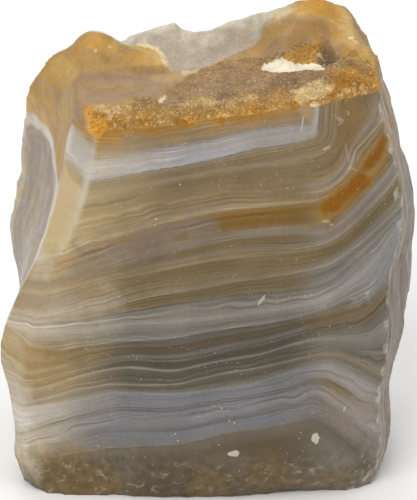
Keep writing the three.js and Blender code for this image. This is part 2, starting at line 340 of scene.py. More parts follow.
# The stone's growth layers. They run through the whole stone, so a point's layer follows from where
# it lies. Each line is one layer as the front break cuts it, as x and height from the left, listed
# from the crust down.
GROWTH_LINES = (
    # the layers that turn up at a square corner of the old cavity
    ((-17, 50.4), (-13.8, 50.2), (-11.3, 50.4), (-8.6, 51.1), (-3.6, 52), (1.5, 52.7), (6.5, 53.9),
     (11.2, 54.6), (12.1, 55.4), (12.2, 60)),
    ((-20, 46.3), (-17, 46.6), (-13.9, 47.2), (-7.3, 48.7), (-3.6, 49.4), (1.4, 50.3), (5.1, 51.4),
     (7.5, 51.8), (11.5, 52.2), (12.5, 51.9), (12.8, 53.1), (13.1, 54.3), (13.2, 60)),
    ((-20, 43), (-15, 44.1), (-11.1, 45.3), (-7.3, 46.2), (-3.6, 47), (1.4, 48), (5.1, 49.1), (7.5, 49.6),
     (12.5, 50.4), (13.3, 50.7), (13.4, 51.6), (13.5, 53.5), (13.6, 60)),
    ((-20, 42), (-13, 44), (-7.3, 45.7), (-1.1, 47), (5.1, 48.2), (11.3, 49.5), (13.6, 49.8), (14.5, 50.3),
     (14.9, 51.5), (15, 60)),
    ((-20, 40.6), (-15, 42.4), (-12.4, 43.3), (-1.1, 46.2), (5.1, 47.1), (11.3, 48.1), (13.7, 48.8),
     (15, 49.6), (15.5, 50.6), (15.6, 53.7), (15.9, 60)),
    # the layers that steepen evenly to the right
    ((-20, 36), (-15, 38.2), (-8.6, 40.8), (-1.1, 43), (5.1, 43.5), (10.1, 43.5), (13.6, 43.6), (15, 44.1),
     (16.3, 44.8), (17.6, 46.1), (18, 48.2), (19, 49.3), (20.8, 50.6), (22, 53), (22.6, 60)),
    ((-22, 31.8), (-19.1, 33.6), (-16.3, 35.7), (-13.7, 36.7), (-8.6, 38.7), (-3.6, 40.3), (0.5, 41.4),
     (5.1, 42), (11.9, 42.5), (13.6, 42.7), (15.1, 43.4), (18.2, 45.4), (20.1, 47.6), (21.6, 49.5), (23, 53),
     (23.4, 60)),
    ((-22, 30.6), (-18, 32.6), (-15, 33.9), (-12.5, 35.3), (-8.7, 36.6), (-3.6, 38.5), (2.6, 39.8),
     (5.1, 40.2), (11.9, 40.9), (14.2, 41.3), (17, 43), (19.3, 45), (21, 46.9), (22.2, 49), (23.8, 53),
     (24.2, 60)),
    ((-22, 29.9), (-18, 31.6), (-15.7, 32.5), (-12.5, 34.1), (-7.4, 36), (-2.4, 37.5), (2.6, 38.6),
     (7.6, 39.1), (12.6, 39.3), (14.5, 39.8), (17, 41.1), (19.5, 43.1), (20.9, 44.9), (22.2, 46),
     (22.7, 47.5), (24.4, 53), (24.8, 60)),
    ((-22.5, 28.9), (-20.1, 29.8), (-16.3, 31.4), (-13.8, 32.3), (-9.9, 33.9), (-4.9, 35.7), (0.1, 37),
     (5.1, 38), (11.4, 38.3), (14.1, 38.3), (15.7, 38.9), (17.6, 40), (20, 42.2), (22.4, 44.6), (23.6, 47.5),
     (25, 53), (25.4, 60)),
    ((-22.5, 28.2), (-20, 29.1), (-16, 30.5), (-12, 32), (-8, 33.4), (-2.4, 35), (1.4, 35.9), (5.1, 36.3),
     (11.4, 36.5), (13.9, 36.6), (17, 38), (20.2, 40.4), (22.8, 42.9), (23.3, 44.1), (25.4, 50), (26, 60)),
    ((-23, 27), (-21.7, 27.4), (-17.3, 29.1), (-15, 30.4), (-12.6, 31.2), (-7.8, 32.7), (-2.1, 34.5),
     (3.5, 35.3), (9.5, 35.8), (14.5, 36.1), (17.2, 37), (19.5, 38.6), (21.7, 40.6), (23.4, 42.4), (26, 47),
     (27, 60)),
    ((-23, 26.2), (-19, 27.3), (-15, 28.8), (-10.2, 30.6), (-5, 32.4), (0, 33.4), (5, 33.8), (10, 34),
     (13.3, 34.3), (17.1, 35.6), (19.6, 37.5), (23.5, 40.6), (27, 45), (30, 55)),
    ((-23.5, 25), (-18.4, 26), (-13.5, 27.3), (-10.2, 28.7), (-5.3, 30.3), (-2.4, 30.9), (1.9, 31.8),
     (5.8, 32.4), (10.3, 33.1), (13.5, 33.6), (16.6, 34.8), (19, 36), (21.5, 37.6), (24, 39.4), (28, 43),
     (32, 50)),
    ((-23.5, 24.5), (-18.4, 25.4), (-13.5, 26.6), (-9, 27.6), (-4, 29), (1, 29.9), (10.3, 30.5),
     (12.9, 30.7), (14.2, 31.1), (16, 31.9), (18.9, 33.9), (21, 35.7), (24, 38), (28, 41), (32, 46)),
    ((-23.5, 23.5), (-19, 24), (-15, 24.6), (-9.2, 26), (-4.5, 26.4), (1, 27), (7.8, 27.9), (10.5, 28.3),
     (12.9, 28.8), (14.6, 29.5), (17, 30.6), (19.5, 31.8), (21.2, 33.3), (22.6, 35.5), (25, 39), (30, 43)),
    # the dark layers, which part to the right round a lens that opens on the right flank
    ((-23.6, 22), (-22.9, 21.4), (-19.3, 21), (-16.8, 22), (-13.5, 22.9), (-10.9, 23.4), (-6.2, 23.8),
     (-1.3, 24.9), (2.7, 25.5), (7.8, 26.2), (12.1, 27.1), (14.6, 27.8), (16.3, 28.2), (20, 28.6),
     (20.9, 29.2), (21.8, 30.6), (22.9, 34.2), (25, 38), (30, 41)),
    ((-25, 18.4), (-22.8, 17.6), (-21.8, 18.2), (-19.3, 18.9), (-16.8, 19.9), (-14.4, 21.1), (-11.9, 21.9),
     (-8.6, 22.2), (-5.4, 22.4), (-1, 23.4), (3, 24.1), (8, 25.1), (12.9, 26.4), (15.5, 26.9), (20.2, 27.2),
     (21.6, 28.4), (22.6, 30.5), (23.4, 33), (26, 36), (30, 38)),
    ((-25, 16.8), (-23.1, 16.3), (-19.3, 17.7), (-16.8, 18.6), (-12.9, 20.1), (-10.9, 20.9), (-8.6, 21.1),
     (-7, 20.9), (-3.7, 21.2), (-1.3, 21.6), (3, 22.6), (8, 23.7), (12.9, 25.2), (15.5, 25.6), (18.5, 25.2),
     (20.2, 25.2), (21.6, 26.2), (22.8, 28), (24, 30), (30, 33)),
    ((-25.2, 15.6), (-23.2, 15.2), (-20.2, 16.2), (-16.9, 17.8), (-14.4, 18.8), (-12.6, 19.4), (-10.9, 19.8),
     (-9.3, 19.9), (-5.1, 19.6), (-3.1, 20.1), (1, 21), (5.8, 21.7), (9.6, 22.9), (11.3, 23.4), (14.7, 23.9),
     (17.2, 23.5), (19.6, 22.7), (20.8, 22.6), (22.1, 23), (23.5, 24), (30, 25)),
    # the lower layers, which arch at the right and then fall
    ((-25.5, 13.6), (-24.3, 13), (-21.9, 13.8), (-17.5, 15.8), (-15.2, 16.4), (-12.9, 17.2), (-8.7, 17.3),
     (-3.8, 17.9), (-1.3, 18.6), (2.7, 19.5), (7.9, 20.4), (13, 21.6), (14.7, 21.7), (16.5, 21.3),
     (18.2, 20), (20.1, 18.5), (21.9, 16.4), (24, 13), (30, 8)),
    ((-25.5, 12.8), (-24.5, 12.4), (-19.4, 13.7), (-16.3, 14.6), (-13.9, 15.6), (-12, 16.1), (-7, 16.2),
     (-2.9, 16.6), (4.4, 17.3), (7.2, 18.3), (12.2, 20), (13.9, 20.2), (15.6, 19.9), (17.4, 18.9),
     (19.2, 17.1), (22, 13.7), (24, 10), (28, 5)),
    ((-25.6, 7.6), (-22, 9.9), (-18.6, 11.3), (-13.6, 13.4), (-11.5, 14), (-7, 14.1), (-4.7, 14.3),
     (-1.3, 15.1), (4.4, 15.9), (7.9, 16.4), (10.4, 17.1), (12.5, 18), (13.9, 18.1), (15.7, 17.6),
     (17.4, 16), (19.3, 13.9), (22, 11.3), (24, 8), (27, 3)),
    ((-25.6, 4.6), (-21.5, 6), (-18.5, 7.5), (-15.7, 9.2), (-13.1, 10.2), (-4.9, 10.9), (0.1, 12),
     (4.5, 12.9), (10.5, 13.9), (12.6, 14.5), (13.6, 14.4), (15.4, 13.1), (18.4, 9.7), (21, 7), (24, 4)),
    ((-25.6, 3.6), (-20.5, 5), (-14.4, 7.4), (-8.9, 8.4), (-4.9, 8.8), (-1, 9.9), (2.9, 11), (6.2, 11),
     (10.5, 11.8), (12.6, 12.4), (14.2, 12.1), (16.8, 9.6), (19, 7), (21, 4)),
)
LINE_REACH = 80  # how far each line runs on past its ends, in millimetres
SAME_PLACE = 1e-6  # what is nearer than this counts as one, in millimetres
LAST = len(GROWTH_LINES) - 1


def rounded(line):
    """The same line with its corners cut off twice, so that it runs as a curve."""
    points = [Vector(point) for point in line]
    for _ in range(2):
        cut = [points[0]]
        for start, end in zip(points, points[1:]):
            cut += [start.lerp(end, 0.25), start.lerp(end, 0.75)]
        points = [*cut, points[-1]]
    return points


def height_over(line, across, up):
    """How far points lie above a growth line, in millimetres, and below it if negative."""
    points = rounded(line)
    left = (points[0] - points[1]).normalized()
    right = (points[-1] - points[-2]).normalized()
    points = [points[0] + left * LINE_REACH, *points, points[-1] + right * LINE_REACH]
    nearest = np.full(len(across), FAR_AWAY, np.float32)
    side = np.zeros(len(across), np.float32)
    for start, end in zip(points, points[1:]):
        run = end - start
        from_x, from_z = across - start.x, up - start.y
        along = np.clip((from_x * run.x + from_z * run.y) / run.length_squared, 0, 1)
        away = np.hypot(from_x - along * run.x, from_z - along * run.y)
        over = (run.x * from_z - run.y * from_x) / run.length
        # At a corner both runs are as near, and the one that the point lies squarer to decides.
        as_near = (away < nearest + SAME_PLACE) & (abs(over) > abs(side))
        closer = (away < nearest - SAME_PLACE) | as_near
        nearest = np.where(closer, away, nearest)
        side = np.where(closer, over, side)
    return nearest * np.sign(side)


# Behind the front the layers dip a little to the left corner, and wander more the deeper they lie.
CORNER_DIP = ((30, 0.33), (44, 0.10), (50, 0.03))  # as height and slope
SPREAD_BEHIND = 0.2  # how much wider the layers' shapes are at the back
WANDER_ACROSS = 2.5  # in millimetres, as the next two are
WANDER_UP = 3.2
RIPPLE_UP = 0.5
depth = np.clip((y + 13) / 28, 0, 1)
corner_dip = read_off(CORNER_DIP, z) * np.clip(y + 12.8, 0, 9)
across = x * (1 - SPREAD_BEHIND * depth) + WANDER_ACROSS * depth * grain(15, 31)
up = z + corner_dip * fade(-x, 10, 15) + WANDER_UP * depth * grain(13, 11)
up = up + RIPPLE_UP * depth * grain(4, 3)
across = across.astype(np.float32)
up = up.astype(np.float32)

over = [height_over(line, across, up) for line in GROWTH_LINES]
growth = -over[0]  # above the first line, in millimetres over it
for number, (upper, lower) in enumerate(zip(over, over[1:])):
    between = (upper < 0) & (lower >= 0)
    growth = np.where(between, number - upper / np.maximum(lower - upper, SAME_PLACE), growth)
below_all = (over[-1] < 0) & (over[-2] < 0)
growth = np.where(below_all, LAST - over[-1], growth)

# The stone's stains, and light and shade painted on it. Iron has stained the crust and the layers
# beside it gold and orange; some outlines are painted shade, glow or highlights instead, as marked.
# Each one is an outline on the stone's skin, and how deep a point lies inside it is kept for the finish.
TONES = {
    "milk": "#A09FA1", "pearl": "#C6BDB1", "bone": "#B9AD97", "cream": "#BEB08A", "pale ash": "#97928B",
    "ash": "#7F7971", "dark ash": "#655F51", "slate": "#78787C", "pale slate": "#909296", "lead": "#575246",
    "soot": "#4D473A", "tea": "#806C4D", "pale tea": "#8F7D60", "dark tea": "#6D5F45", "bark": "#5D5039",
    "rust": "#6B5238", "ochre": "#7A5A20", "olive": "#685A3C", "pale olive": "#7B6A4C", "honey": "#A88F66",
    "pale honey": "#B2A078", "dark honey": "#957B4D", "bright amber": "#AE8238", "lilac": "#978E85",
    "mauve": "#82766B", "sand": "#96866A", "earth": "#6D6355",
    # the crust
    "druse": "#A68862", "dark druse": "#8B6D4C", "ramp": "#957B5F", "sugar": "#BA9150", "lip": "#B07A2A",
    "deep lip": "#95671C", "gold": "#A3834F", "bright gold": "#B88C40", "pale gold": "#BFA064",
    "shell": "#D8CAA2", "chalk": "#DED4BA", "wall": "#BA8B42", "hollow shade": "#6A563C", "smoke": "#A99C89",
    "pale smoke": "#CFC7B2", "moss": "#C2B591", "corner": "#AE7822", "pale sugar": "#DCC08A",
    "brown gold": "#99733F", "sparkle": "#FFEACB",
    # the flanks, the corner and the marks
    "flank gold": "#B08C4E", "flank mauve": "#A08A68", "heart": "#9A8F83", "heart edge": "#D2CCC4",
    "pale heart": "#AEA79D", "bevel honey": "#BFA777", "bevel cream": "#D3C8AE", "warm tea": "#84683E",
    "rim orange": "#DC9E3E", "bark grey": "#8B8176", "warm bark": "#A39079", "edge": "#C9C1B3",
    "iron": "#865400", "iron rim": "#9E7A30", "scar": "#B3A58E", "golden earth": "#7A6440",
}

# Each stain or painted light below: its tone, how much it hides, how soft its edge is in millimetres,
# and its outline. The stains of the top, with their painted shade, glow and highlights, as x and y in plan.
TOP_STAINS_AND_LIGHT = (
    ("flank gold", 0.9, 0.5, (
        (-26, 8), (-17.6, 8), (-16.4, 1), (-16.2, -2.4), (-16.6, -11), (-19, -11), (-26, 2))),
    ("pale gold", 0.3, 0.8, ((-20.5, 6), (-18.5, 4), (-17.4, 1), (-16.8, -2), (-17.6, -2), (-19.4, 1.6))),
    # darker druse in front of the pocket: partly its own tone, partly painted shadow under the pocket's lip
    ("dark druse", 0.7, 1.3, ((6, -8), (7.4, -6.6), (9, -7.2), (14.3, -8.4), (15, -12), (8, -12))),
    ("brown gold", 0.6, 0.9, ((4, 0.4), (6.4, -0.6), (6.8, -2), (6, -4), (5.6, -7), (3.8, -8.4), (4, -3.6))),
    ("gold", 0.85, 0.7, (
        (-2.8, -4.3), (0.8, -1.8), (2.4, -0.6), (3.9, 0.8), (5.2, 1.8), (7.5, 2.3), (9.5, 2.6), (10.5, 1),
        (7, 0.2), (4.5, -0.2), (3, -1.4), (1, -3), (-1, -4.6))),
    ("ramp", 0.8, 0.6, (
        (-18, -2.2), (-10, -2.2), (-5, -4.4), (-2, -4), (-3.4, -6.6), (-5.6, -10), (-6.6, -12.2),
        (-18, -12.2))),
    ("gold", 0.6, 0.9, (
        (-17, -4.4), (-14, -4.8), (-11.5, -6), (-8, -8), (-8.8, -9.2), (-12, -8.2), (-15, -6.9),
        (-17, -6.6))),
    ("gold", 0.6, 0.7, ((-17, -10.6), (-13, -11.2), (-8, -11.6), (-7, -12.6), (-17, -12.6))),
    ("gold", 0.5, 0.7, ((-17.8, -8.6), (-16.2, -9), (-15.4, -12.6), (-17.8, -12.6))),
    ("pale gold", 0.5, 1, ((-8, -4.6), (-5, -4.6), (-3.4, -5.6), (-4.6, -7.6), (-6.5, -6.6))),
    ("smoke", 1, 0.12, FIN),
    # the fin paler toward its thin top: painted glow where light comes through it
    ("pale smoke", 0.7, 1.4, (
        (-13, 2.4), (-9, 2.2), (-5, 2.6), (-1, 1.6), (2, 3), (5, 4.2), (8, 5), (8, 10), (-13, 10))),
    ("moss", 0.85, 0.6, (
        (8, 2.4), (9.6, 2.7), (11, 3.6), (11.4, 5.4), (11, 8), (7.6, 8), (8.3, 5), (8, 3.3))),
    ("gold", 0.95, 0.35, TONGUE),
    ("bright gold", 0.7, 0.9, ((-17.5, 4.5), (-12.5, 3.4), (-11.2, 1.4), (-13.5, 0.8), (-17, 1.8))),
    ("bright gold", 0.6, 0.7, ((-11, 0.5), (-8, -0.4), (-6.2, -2.2), (-6.6, -3.8), (-9, -3.2))),
    # the next two: painted highlight and glow along the tongue's thin edge
    ("pale gold", 0.7, 0.5, (
        (-9.8, 2.4), (-7.4, 1.1), (-6, -0.3), (-5.1, -1.9), (-4.5, -4.3), (-6.4, -3.6), (-7.4, -1.6),
        (-8.4, 0), (-10.2, 1))),
    ("shell", 0.9, 0.25, (
        (-9.4, 2.3), (-7.4, 1.2), (-6, -0.2), (-5.1, -1.9), (-4.5, -4.3), (-5.6, -3.8), (-6.1, -1.8),
        (-7.1, -0.2), (-8.8, 1.2))),
    # painted highlight on the lit edge of the step down from the left slab
    ("moss", 0.8, 0.15, ((-3.6, -4.6), (-2.2, -4), (-0.8, -2.7), (-1.3, -3.9), (-2.3, -5.1), (-3.3, -5.7))),
    ("shell", 0.9, 0.08, ((-6.6, -12.2), (-6.1, -11.2), (-5.4, -10.2), (-5.5, -11.2), (-5.9, -12.1))),
    ("gold", 0.85, 0.8, ((4.6, 0.8), (7, 0.2), (10, 1.2), (11.4, 1.8), (11, 3.2), (9, 2.6), (7, 2.6))),
    ("pale gold", 0.75, 0.8, (
        (10, 2.4), (11, 3.2), (12, 6.5), (17.5, 6.5), (19, 3), (20.5, 0), (21, -6), (18.8, -6), (17, -3),
        (16, -0.8), (15, 0.8), (14.6, 2.2))),
    ("bright gold", 0.9, 0.9, ((11, 3.4), (13, 2.2), (15.6, 2.4), (16.8, 3), (16.4, 7), (11.2, 7))),
    ("lip", 0.35, 0.9, ((11.2, 5), (13, 3.6), (15.4, 4.2), (15.6, 7), (11.2, 7))),
    ("brown gold", 0.8, 0.8, (
        (9.6, 0.2), (11, 1.6), (13, 2.2), (15.6, 2.4), (15.8, 0.9), (15.2, -0.9), (9.6, -1.4))),
    ("bright gold", 0.8, 0.6, (
        (15.6, 1.6), (16.4, 1), (17.6, -1.6), (18.4, -4), (18.4, -6.4), (17.4, -5), (16.8, -2.6),
        (15.6, -0.4))),
    ("gold", 0.7, 0.7, ((19.2, 2.4), (21, 2), (21.6, -7), (19.6, -7), (19.4, -2))),
    ("bright gold", 0.6, 0.6, (
        (16.6, -2.4), (18.2, -1.8), (20, -2.6), (20.2, -5.6), (18.6, -6.4), (17.2, -5.4))),
    ("wall", 1, 0.12, POCKET_WALL),
    # painted shade in the hollow by the peak
    ("hollow shade", 0.5, 0.6, (
        (14.1, -1), (15.4, -1.4), (16.2, -3), (15.8, -5), (14.9, -6.2), (14.3, -6), (14.2, -4.3),
        (13.4, -3.8), (13.8, -2.4))),
    ("corner", 0.85, 0.8, (
        (14.6, -8.4), (16.5, -8.8), (18.4, -7.4), (21, -7), (22, -14.5), (15, -14.5), (14, -12.7),
        (15.4, -11.5), (14.6, -10))),
    ("bright gold", 0.8, 0.7, ((17.4, -8.8), (18.6, -9.4), (19.8, -10.4), (18.6, -12), (17.2, -11.4))),
    ("bright gold", 0.7, 0.5, ((15.6, -9.2), (16.6, -9.6), (16.8, -10.8), (15.8, -11))),
    ("brown gold", 0.7, 0.5, ((16.2, -5.4), (17.2, -6.2), (18.8, -7.6), (17, -8.4), (15.4, -8))),
    ("sugar", 0.8, 0.8, ((-17, -12), (-12, -12.2), (-6, -12.3), (13, -12.4), (13, -16), (-17, -16))),
    ("pale sugar", 0.6, 0.5, ((-14.6, -12), (-12, -12.2), (-9.6, -12.5), (-11, -13), (-14.4, -12.8))),
    ("pale sugar", 0.6, 0.4, ((-4, -12.3), (0, -12.2), (3, -12.5), (6, -12.6), (3, -13), (-3, -12.9))),
    ("pale sugar", 0.9, 0.3, (
        (10.2, -12.5), (11.8, -11.9), (13.4, -12), (15.6, -12.7), (14, -14.5), (11.4, -14.5))),
    ("chalk", 1, 0.06, CHALK),
)
# Stains of the left flank, as y and height.
LEFT_STAINS = (
    ("flank gold", 0.85, 1, (
        (-9.4, 53), (-8.4, 50), (-6.6, 47.4), (-4.6, 44.2), (-3.4, 41), (-1, 37), (1, 38.6), (3, 41.2),
        (5, 43), (8, 44.4), (10, 43), (12, 46), (12, 64), (-9, 64))),
    ("flank mauve", 0.6, 0.9, (
        (-7.6, 51), (-2, 49.8), (2, 48.4), (5, 49.6), (9, 49), (16, 50), (16, 56), (8, 53.4), (3, 52.6),
        (-4, 52.6), (-8, 52.4))),
    ("gold", 0.6, 0.8, ((-6, 49.4), (-3.4, 48), (-1, 45), (-2, 43.6), (-4.8, 46))),
    ("bevel cream", 0.8, 0.8, (
        (-3.4, 40.6), (0.6, 37.8), (-1.4, 34.6), (-4, 31.6), (-7, 28), (-9, 28), (-6.6, 33), (-4.6, 36.4))),
)
# The grey quartz in the middle of the left flank, which a white layer wraps, as y and height.
HEART = (
    (9.6, 42.2), (8, 43.7), (6, 43.1), (4.4, 42.1), (3, 40.7), (1.6, 38.9), (0.2, 37), (-1.6, 34.8),
    (-3.6, 32.6), (-5.4, 30.4), (-7.2, 27.6), (-8.6, 24.4), (-9.2, 21), (-8, 17.4), (-5.5, 14.6), (-1, 12.6),
    (3.6, 12.2), (7.2, 13.6), (9.2, 16.6), (10, 21), (10.3, 28), (10.2, 37),
)
# Stains of the bevelled front corner at the left, and painted glow along its edge, as x and height.
BEVEL_STAINS_AND_GLOW = (
    ("bright amber", 0.6, 0.9, ((-16, 51.4), (-13.4, 51.4), (-13.6, 49), (-14.6, 49), (-15.4, 49.8))),
    ("bevel honey", 0.85, 0.5, (
        (-21.4, 32.6), (-19.5, 33.4), (-18.4, 34.5), (-17.2, 35.4), (-16.8, 38), (-16.4, 41.2),
        (-15.9, 43.6), (-17, 44.4), (-18.6, 43.6), (-19.2, 40.6), (-19.8, 38), (-20.6, 35.5))),
    ("dark honey", 0.5, 0.5, (
        (-18.4, 44), (-17.2, 44.8), (-15.6, 44.8), (-15.8, 42.8), (-17, 42.6), (-18.6, 42.6))),
    ("bevel cream", 0.6, 0.5, (
        (-17.2, 36), (-16.5, 39), (-16.1, 42), (-15.4, 44.4), (-14.6, 44.4), (-15.1, 41.5), (-15.6, 38.5),
        (-16.4, 36))),
    ("pale heart", 0.75, 0.7, (
        (-18.8, 44.8), (-18.1, 47.6), (-17.4, 49.2), (-14.2, 48.8), (-14.6, 46.6), (-15.4, 45.4),
        (-16.6, 45.4), (-17.6, 45))),
    ("heart edge", 0.7, 0.35, (
        (-18.9, 44.2), (-18.3, 47.6), (-17.7, 49.4), (-17.1, 49.4), (-17.5, 46.6), (-17.9, 45.2))),
    # the next two: painted glow along the thin front edge of the bevel, where light comes through it
    ("edge", 0.25, 0.9, ((-22.6, 31.4), (-20.3, 32.4), (-19.4, 31.8), (-20.6, 30.2), (-22.6, 29.4))),
    ("edge", 0.4, 0.6, (
        (-14.3, 50), (-15.3, 46), (-16.3, 42), (-17.4, 37.5), (-19, 34), (-18.4, 34), (-16.6, 37.5),
        (-15.6, 42), (-14.6, 46), (-13.8, 50))),
)
# Stains of the front, as x and height: iron that has soaked down from the crust and along two layers
# at the right, a painted glow where light comes through the thin left edge, the golden foot, and a
# milky lens at the right with pale grey round it.
FRONT_STAINS_AND_GLOW = (
    ("bright amber", 0.5, 1.2, (
        (-17, 51.3), (-13, 51.8), (-8, 52.3), (-3, 52.8), (3, 53.6), (8, 54.4), (11, 55.2), (11, 54),
        (5, 52.8), (0, 51.9), (-6, 50.9), (-12, 50), (-17, 49))),
    ("deep lip", 0.7, 0.6, (
        (-17, 51.3), (-13, 51.8), (-8, 52.3), (-3, 52.8), (3, 53.6), (8, 54.4), (11, 55.2), (11, 54.4),
        (5, 53.3), (0, 52.4), (-6, 51.4), (-12, 50.7), (-17, 49.6))),
    ("bright amber", 0.6, 1, (
        (-17.4, 50.6), (-13, 50.8), (-11, 50.2), (-12.2, 49), (-13.8, 48.6), (-17.4, 49))),
    ("rust", 0.5, 1.2, ((16.4, 57.6), (21, 57.6), (20.6, 53.4), (19.4, 52.6), (18.2, 54))),
    ("warm tea", 0.7, 1, ((15.5, 55.8), (18.4, 54.8), (19.6, 52.2), (18.4, 50.2), (17, 48.6), (15.7, 49.6))),
    ("honey", 0.7, 0.5, ((11, 55.2), (12.9, 55.2), (12.9, 53.4), (12.2, 52.8), (11.2, 53))),
    ("iron rim", 0.55, 0.7, (
        (13, 40.5), (14, 42.6), (15.3, 43.6), (18.2, 45.6), (18.6, 47), (20.6, 49.1), (22.2, 50.2),
        (22.8, 48.4), (22.6, 46.4), (20.8, 43.6), (19.2, 42.2), (17.6, 41.2), (16, 40.5), (14.4, 40))),
    ("iron", 0.95, 0.6, (
        (13.3, 41.2), (14.2, 42.3), (15.5, 43.1), (16.9, 44.2), (18.4, 45.2), (19.4, 45), (20.4, 44.3),
        (20.1, 43.5), (19, 42.6), (17.5, 41.6), (16, 41), (14.5, 40.7))),
    ("iron", 0.95, 0.45, (
        (18.9, 45.5), (19.2, 46.5), (20, 47.4), (20.9, 48.4), (21.4, 49.3), (22, 49.6), (22.4, 48.4),
        (22.2, 47), (21.5, 46.1), (20.8, 45.6), (19.8, 45.2))),
    ("ochre", 0.4, 0.8, ((15, 38.7), (16.5, 38.7), (17.4, 39.6), (16.4, 40.2), (15.2, 40))),
    ("dark tea", 0.35, 1.6, ((-17, 31), (-9, 33.8), (-1, 37), (2, 39), (0, 40.8), (-8, 38), (-16, 35))),
    # the next two: painted glow where light comes through the thin left edge
    ("edge", 0.2, 2.4, ((-26, 28.4), (-20.6, 28.6), (-12, 29.4), (-12, 27.6), (-20, 25.4), (-27, 23.8))),
    ("edge", 0.5, 1.4, (
        (-28, 19), (-24.6, 18), (-23.4, 15.4), (-23.6, 12.6), (-24, 7), (-23.4, 4), (-28, 4))),
    ("dark honey", 0.3, 2.6, ((-22.6, 21.6), (-19, 22), (-15.4, 22.2), (-15, 21), (-17.6, 18), (-22, 16.6))),
    ("dark tea", 0.4, 1.6, ((-20.6, 20.6), (-17, 22.2), (-13.4, 23), (-13.4, 21.6), (-18, 19.4))),
    ("mauve", 0.6, 1.4, (
        (-17, 35.2), (-12, 37.2), (-6, 39.4), (-1, 40.9), (1.6, 41.3), (0, 38.6), (-6, 36), (-12, 34),
        (-17, 32.6))),
    # the next three: partly the layers' own pale tones, partly painted glow where light comes through the
    # thin edge
    ("pale honey", 0.5, 1.4, ((-28, 22), (-24.4, 21.6), (-24, 17.4), (-28, 16.6))),
    ("heart edge", 0.45, 1.2, ((-28, 14.4), (-24.8, 13.2), (-23.4, 10.6), (-25, 9), (-28, 8.8))),
    ("bone", 0.5, 1.2, ((-28, 9), (-24.4, 8.6), (-22, 6.4), (-22.6, 1.6), (-28, 0))),
    ("golden earth", 0.6, 1.4, ((-21.4, 5.4), (-17, 6.6), (-13, 4.4), (-11, 0), (-21, -1))),
    ("golden earth", 0.5, 1.4, ((7, 7.6), (10.4, 6.2), (12, 1), (4, 0), (5, 5))),
    ("golden earth", 0.5, 1.2, ((14.6, 4), (19.4, 4.2), (19.6, 0), (14, 0))),
    ("golden earth", 0.5, 1.4, ((-1.6, 4.6), (1.8, 4), (2.4, 0), (-3, 0))),
    ("pale slate", 0.6, 1.2, (
        (18.4, 28.4), (20.4, 29.6), (22.2, 33.4), (24.4, 37), (24.8, 32), (22.6, 28.8), (21, 27.6))),
    ("lilac", 0.5, 1.6, ((19, 16.4), (22.6, 14), (22.8, 7.6), (19.4, 9.4), (17.6, 13))),
)
# The strong orange at the rim, as x and height.
RIM_STAINS = (
    ("rim orange", 0.9, 0.6, (
        (-17.6, 50.8), (-17.4, 54), (-14.6, 53.6), (-12.6, 52), (-12.2, 50.6), (-13, 49), (-16, 49))),
    ("rim orange", 0.5, 0.8, ((-4, 51.6), (-2, 52), (2, 52.6), (2, 53.4), (-4, 52.6))),
    ("rim orange", 0.5, 0.8, ((4.6, 53.2), (8.6, 53.8), (11.4, 54.4), (11.4, 55.2), (5, 54.2))),
)

kept_numbers = {}


def keep(name, values):
    """Keeps one number for each vertex with the mesh, under a name that the finish reads."""
    kept_numbers[name] = values.astype(np.float32)
    stored = stone.data.attributes.new(name, "FLOAT", "POINT")
    stored.data.foreach_set("value", kept_numbers[name])


for kind, stains_and_light, across_skin, along_skin in (
    ("top", TOP_STAINS_AND_LIGHT, x, y),
    ("left", LEFT_STAINS, y, z),
    ("bevel", BEVEL_STAINS_AND_GLOW, x, z),
    ("front", FRONT_STAINS_AND_GLOW, x, z),
    ("rim", RIM_STAINS, x, z),
):
    for number, (_, _, _, outline) in enumerate(stains_and_light):
        keep(f"{kind}_stain_{number}", depth_inside(outline, across_skin, along_skin))
keep("growth", growth)
keep("in_heart", depth_inside(HEART, y, z))
keep("terrace", terrace)
keep("behind_right", behind_right)
keep("above_rim", above_rim)
keep("sugary", sugary)
keep("right_flank", right_flank)
keep("bevel", fade(past_front_left, -0.5, 0.3) * fade(z, 28.6, 30.5) * fade(-behind_left, -0.6, 0.4))
outward = 0.12 * grain(2.4, 63) - facing[:, 0]
keep("left_flank", fade(behind_left, -0.4, 0.6) * fade(-x, 10.5, 14) * fade(outward, 0.25, 0.6))
keep("lip", (1 - fade(facing[:, 2], 0.25, 0.7)) * fade(-y, 10.5, 12) * fade(x, -17.3, -16.6))
keep("front_face", fade(-facing[:, 1], 0.3, 0.6))

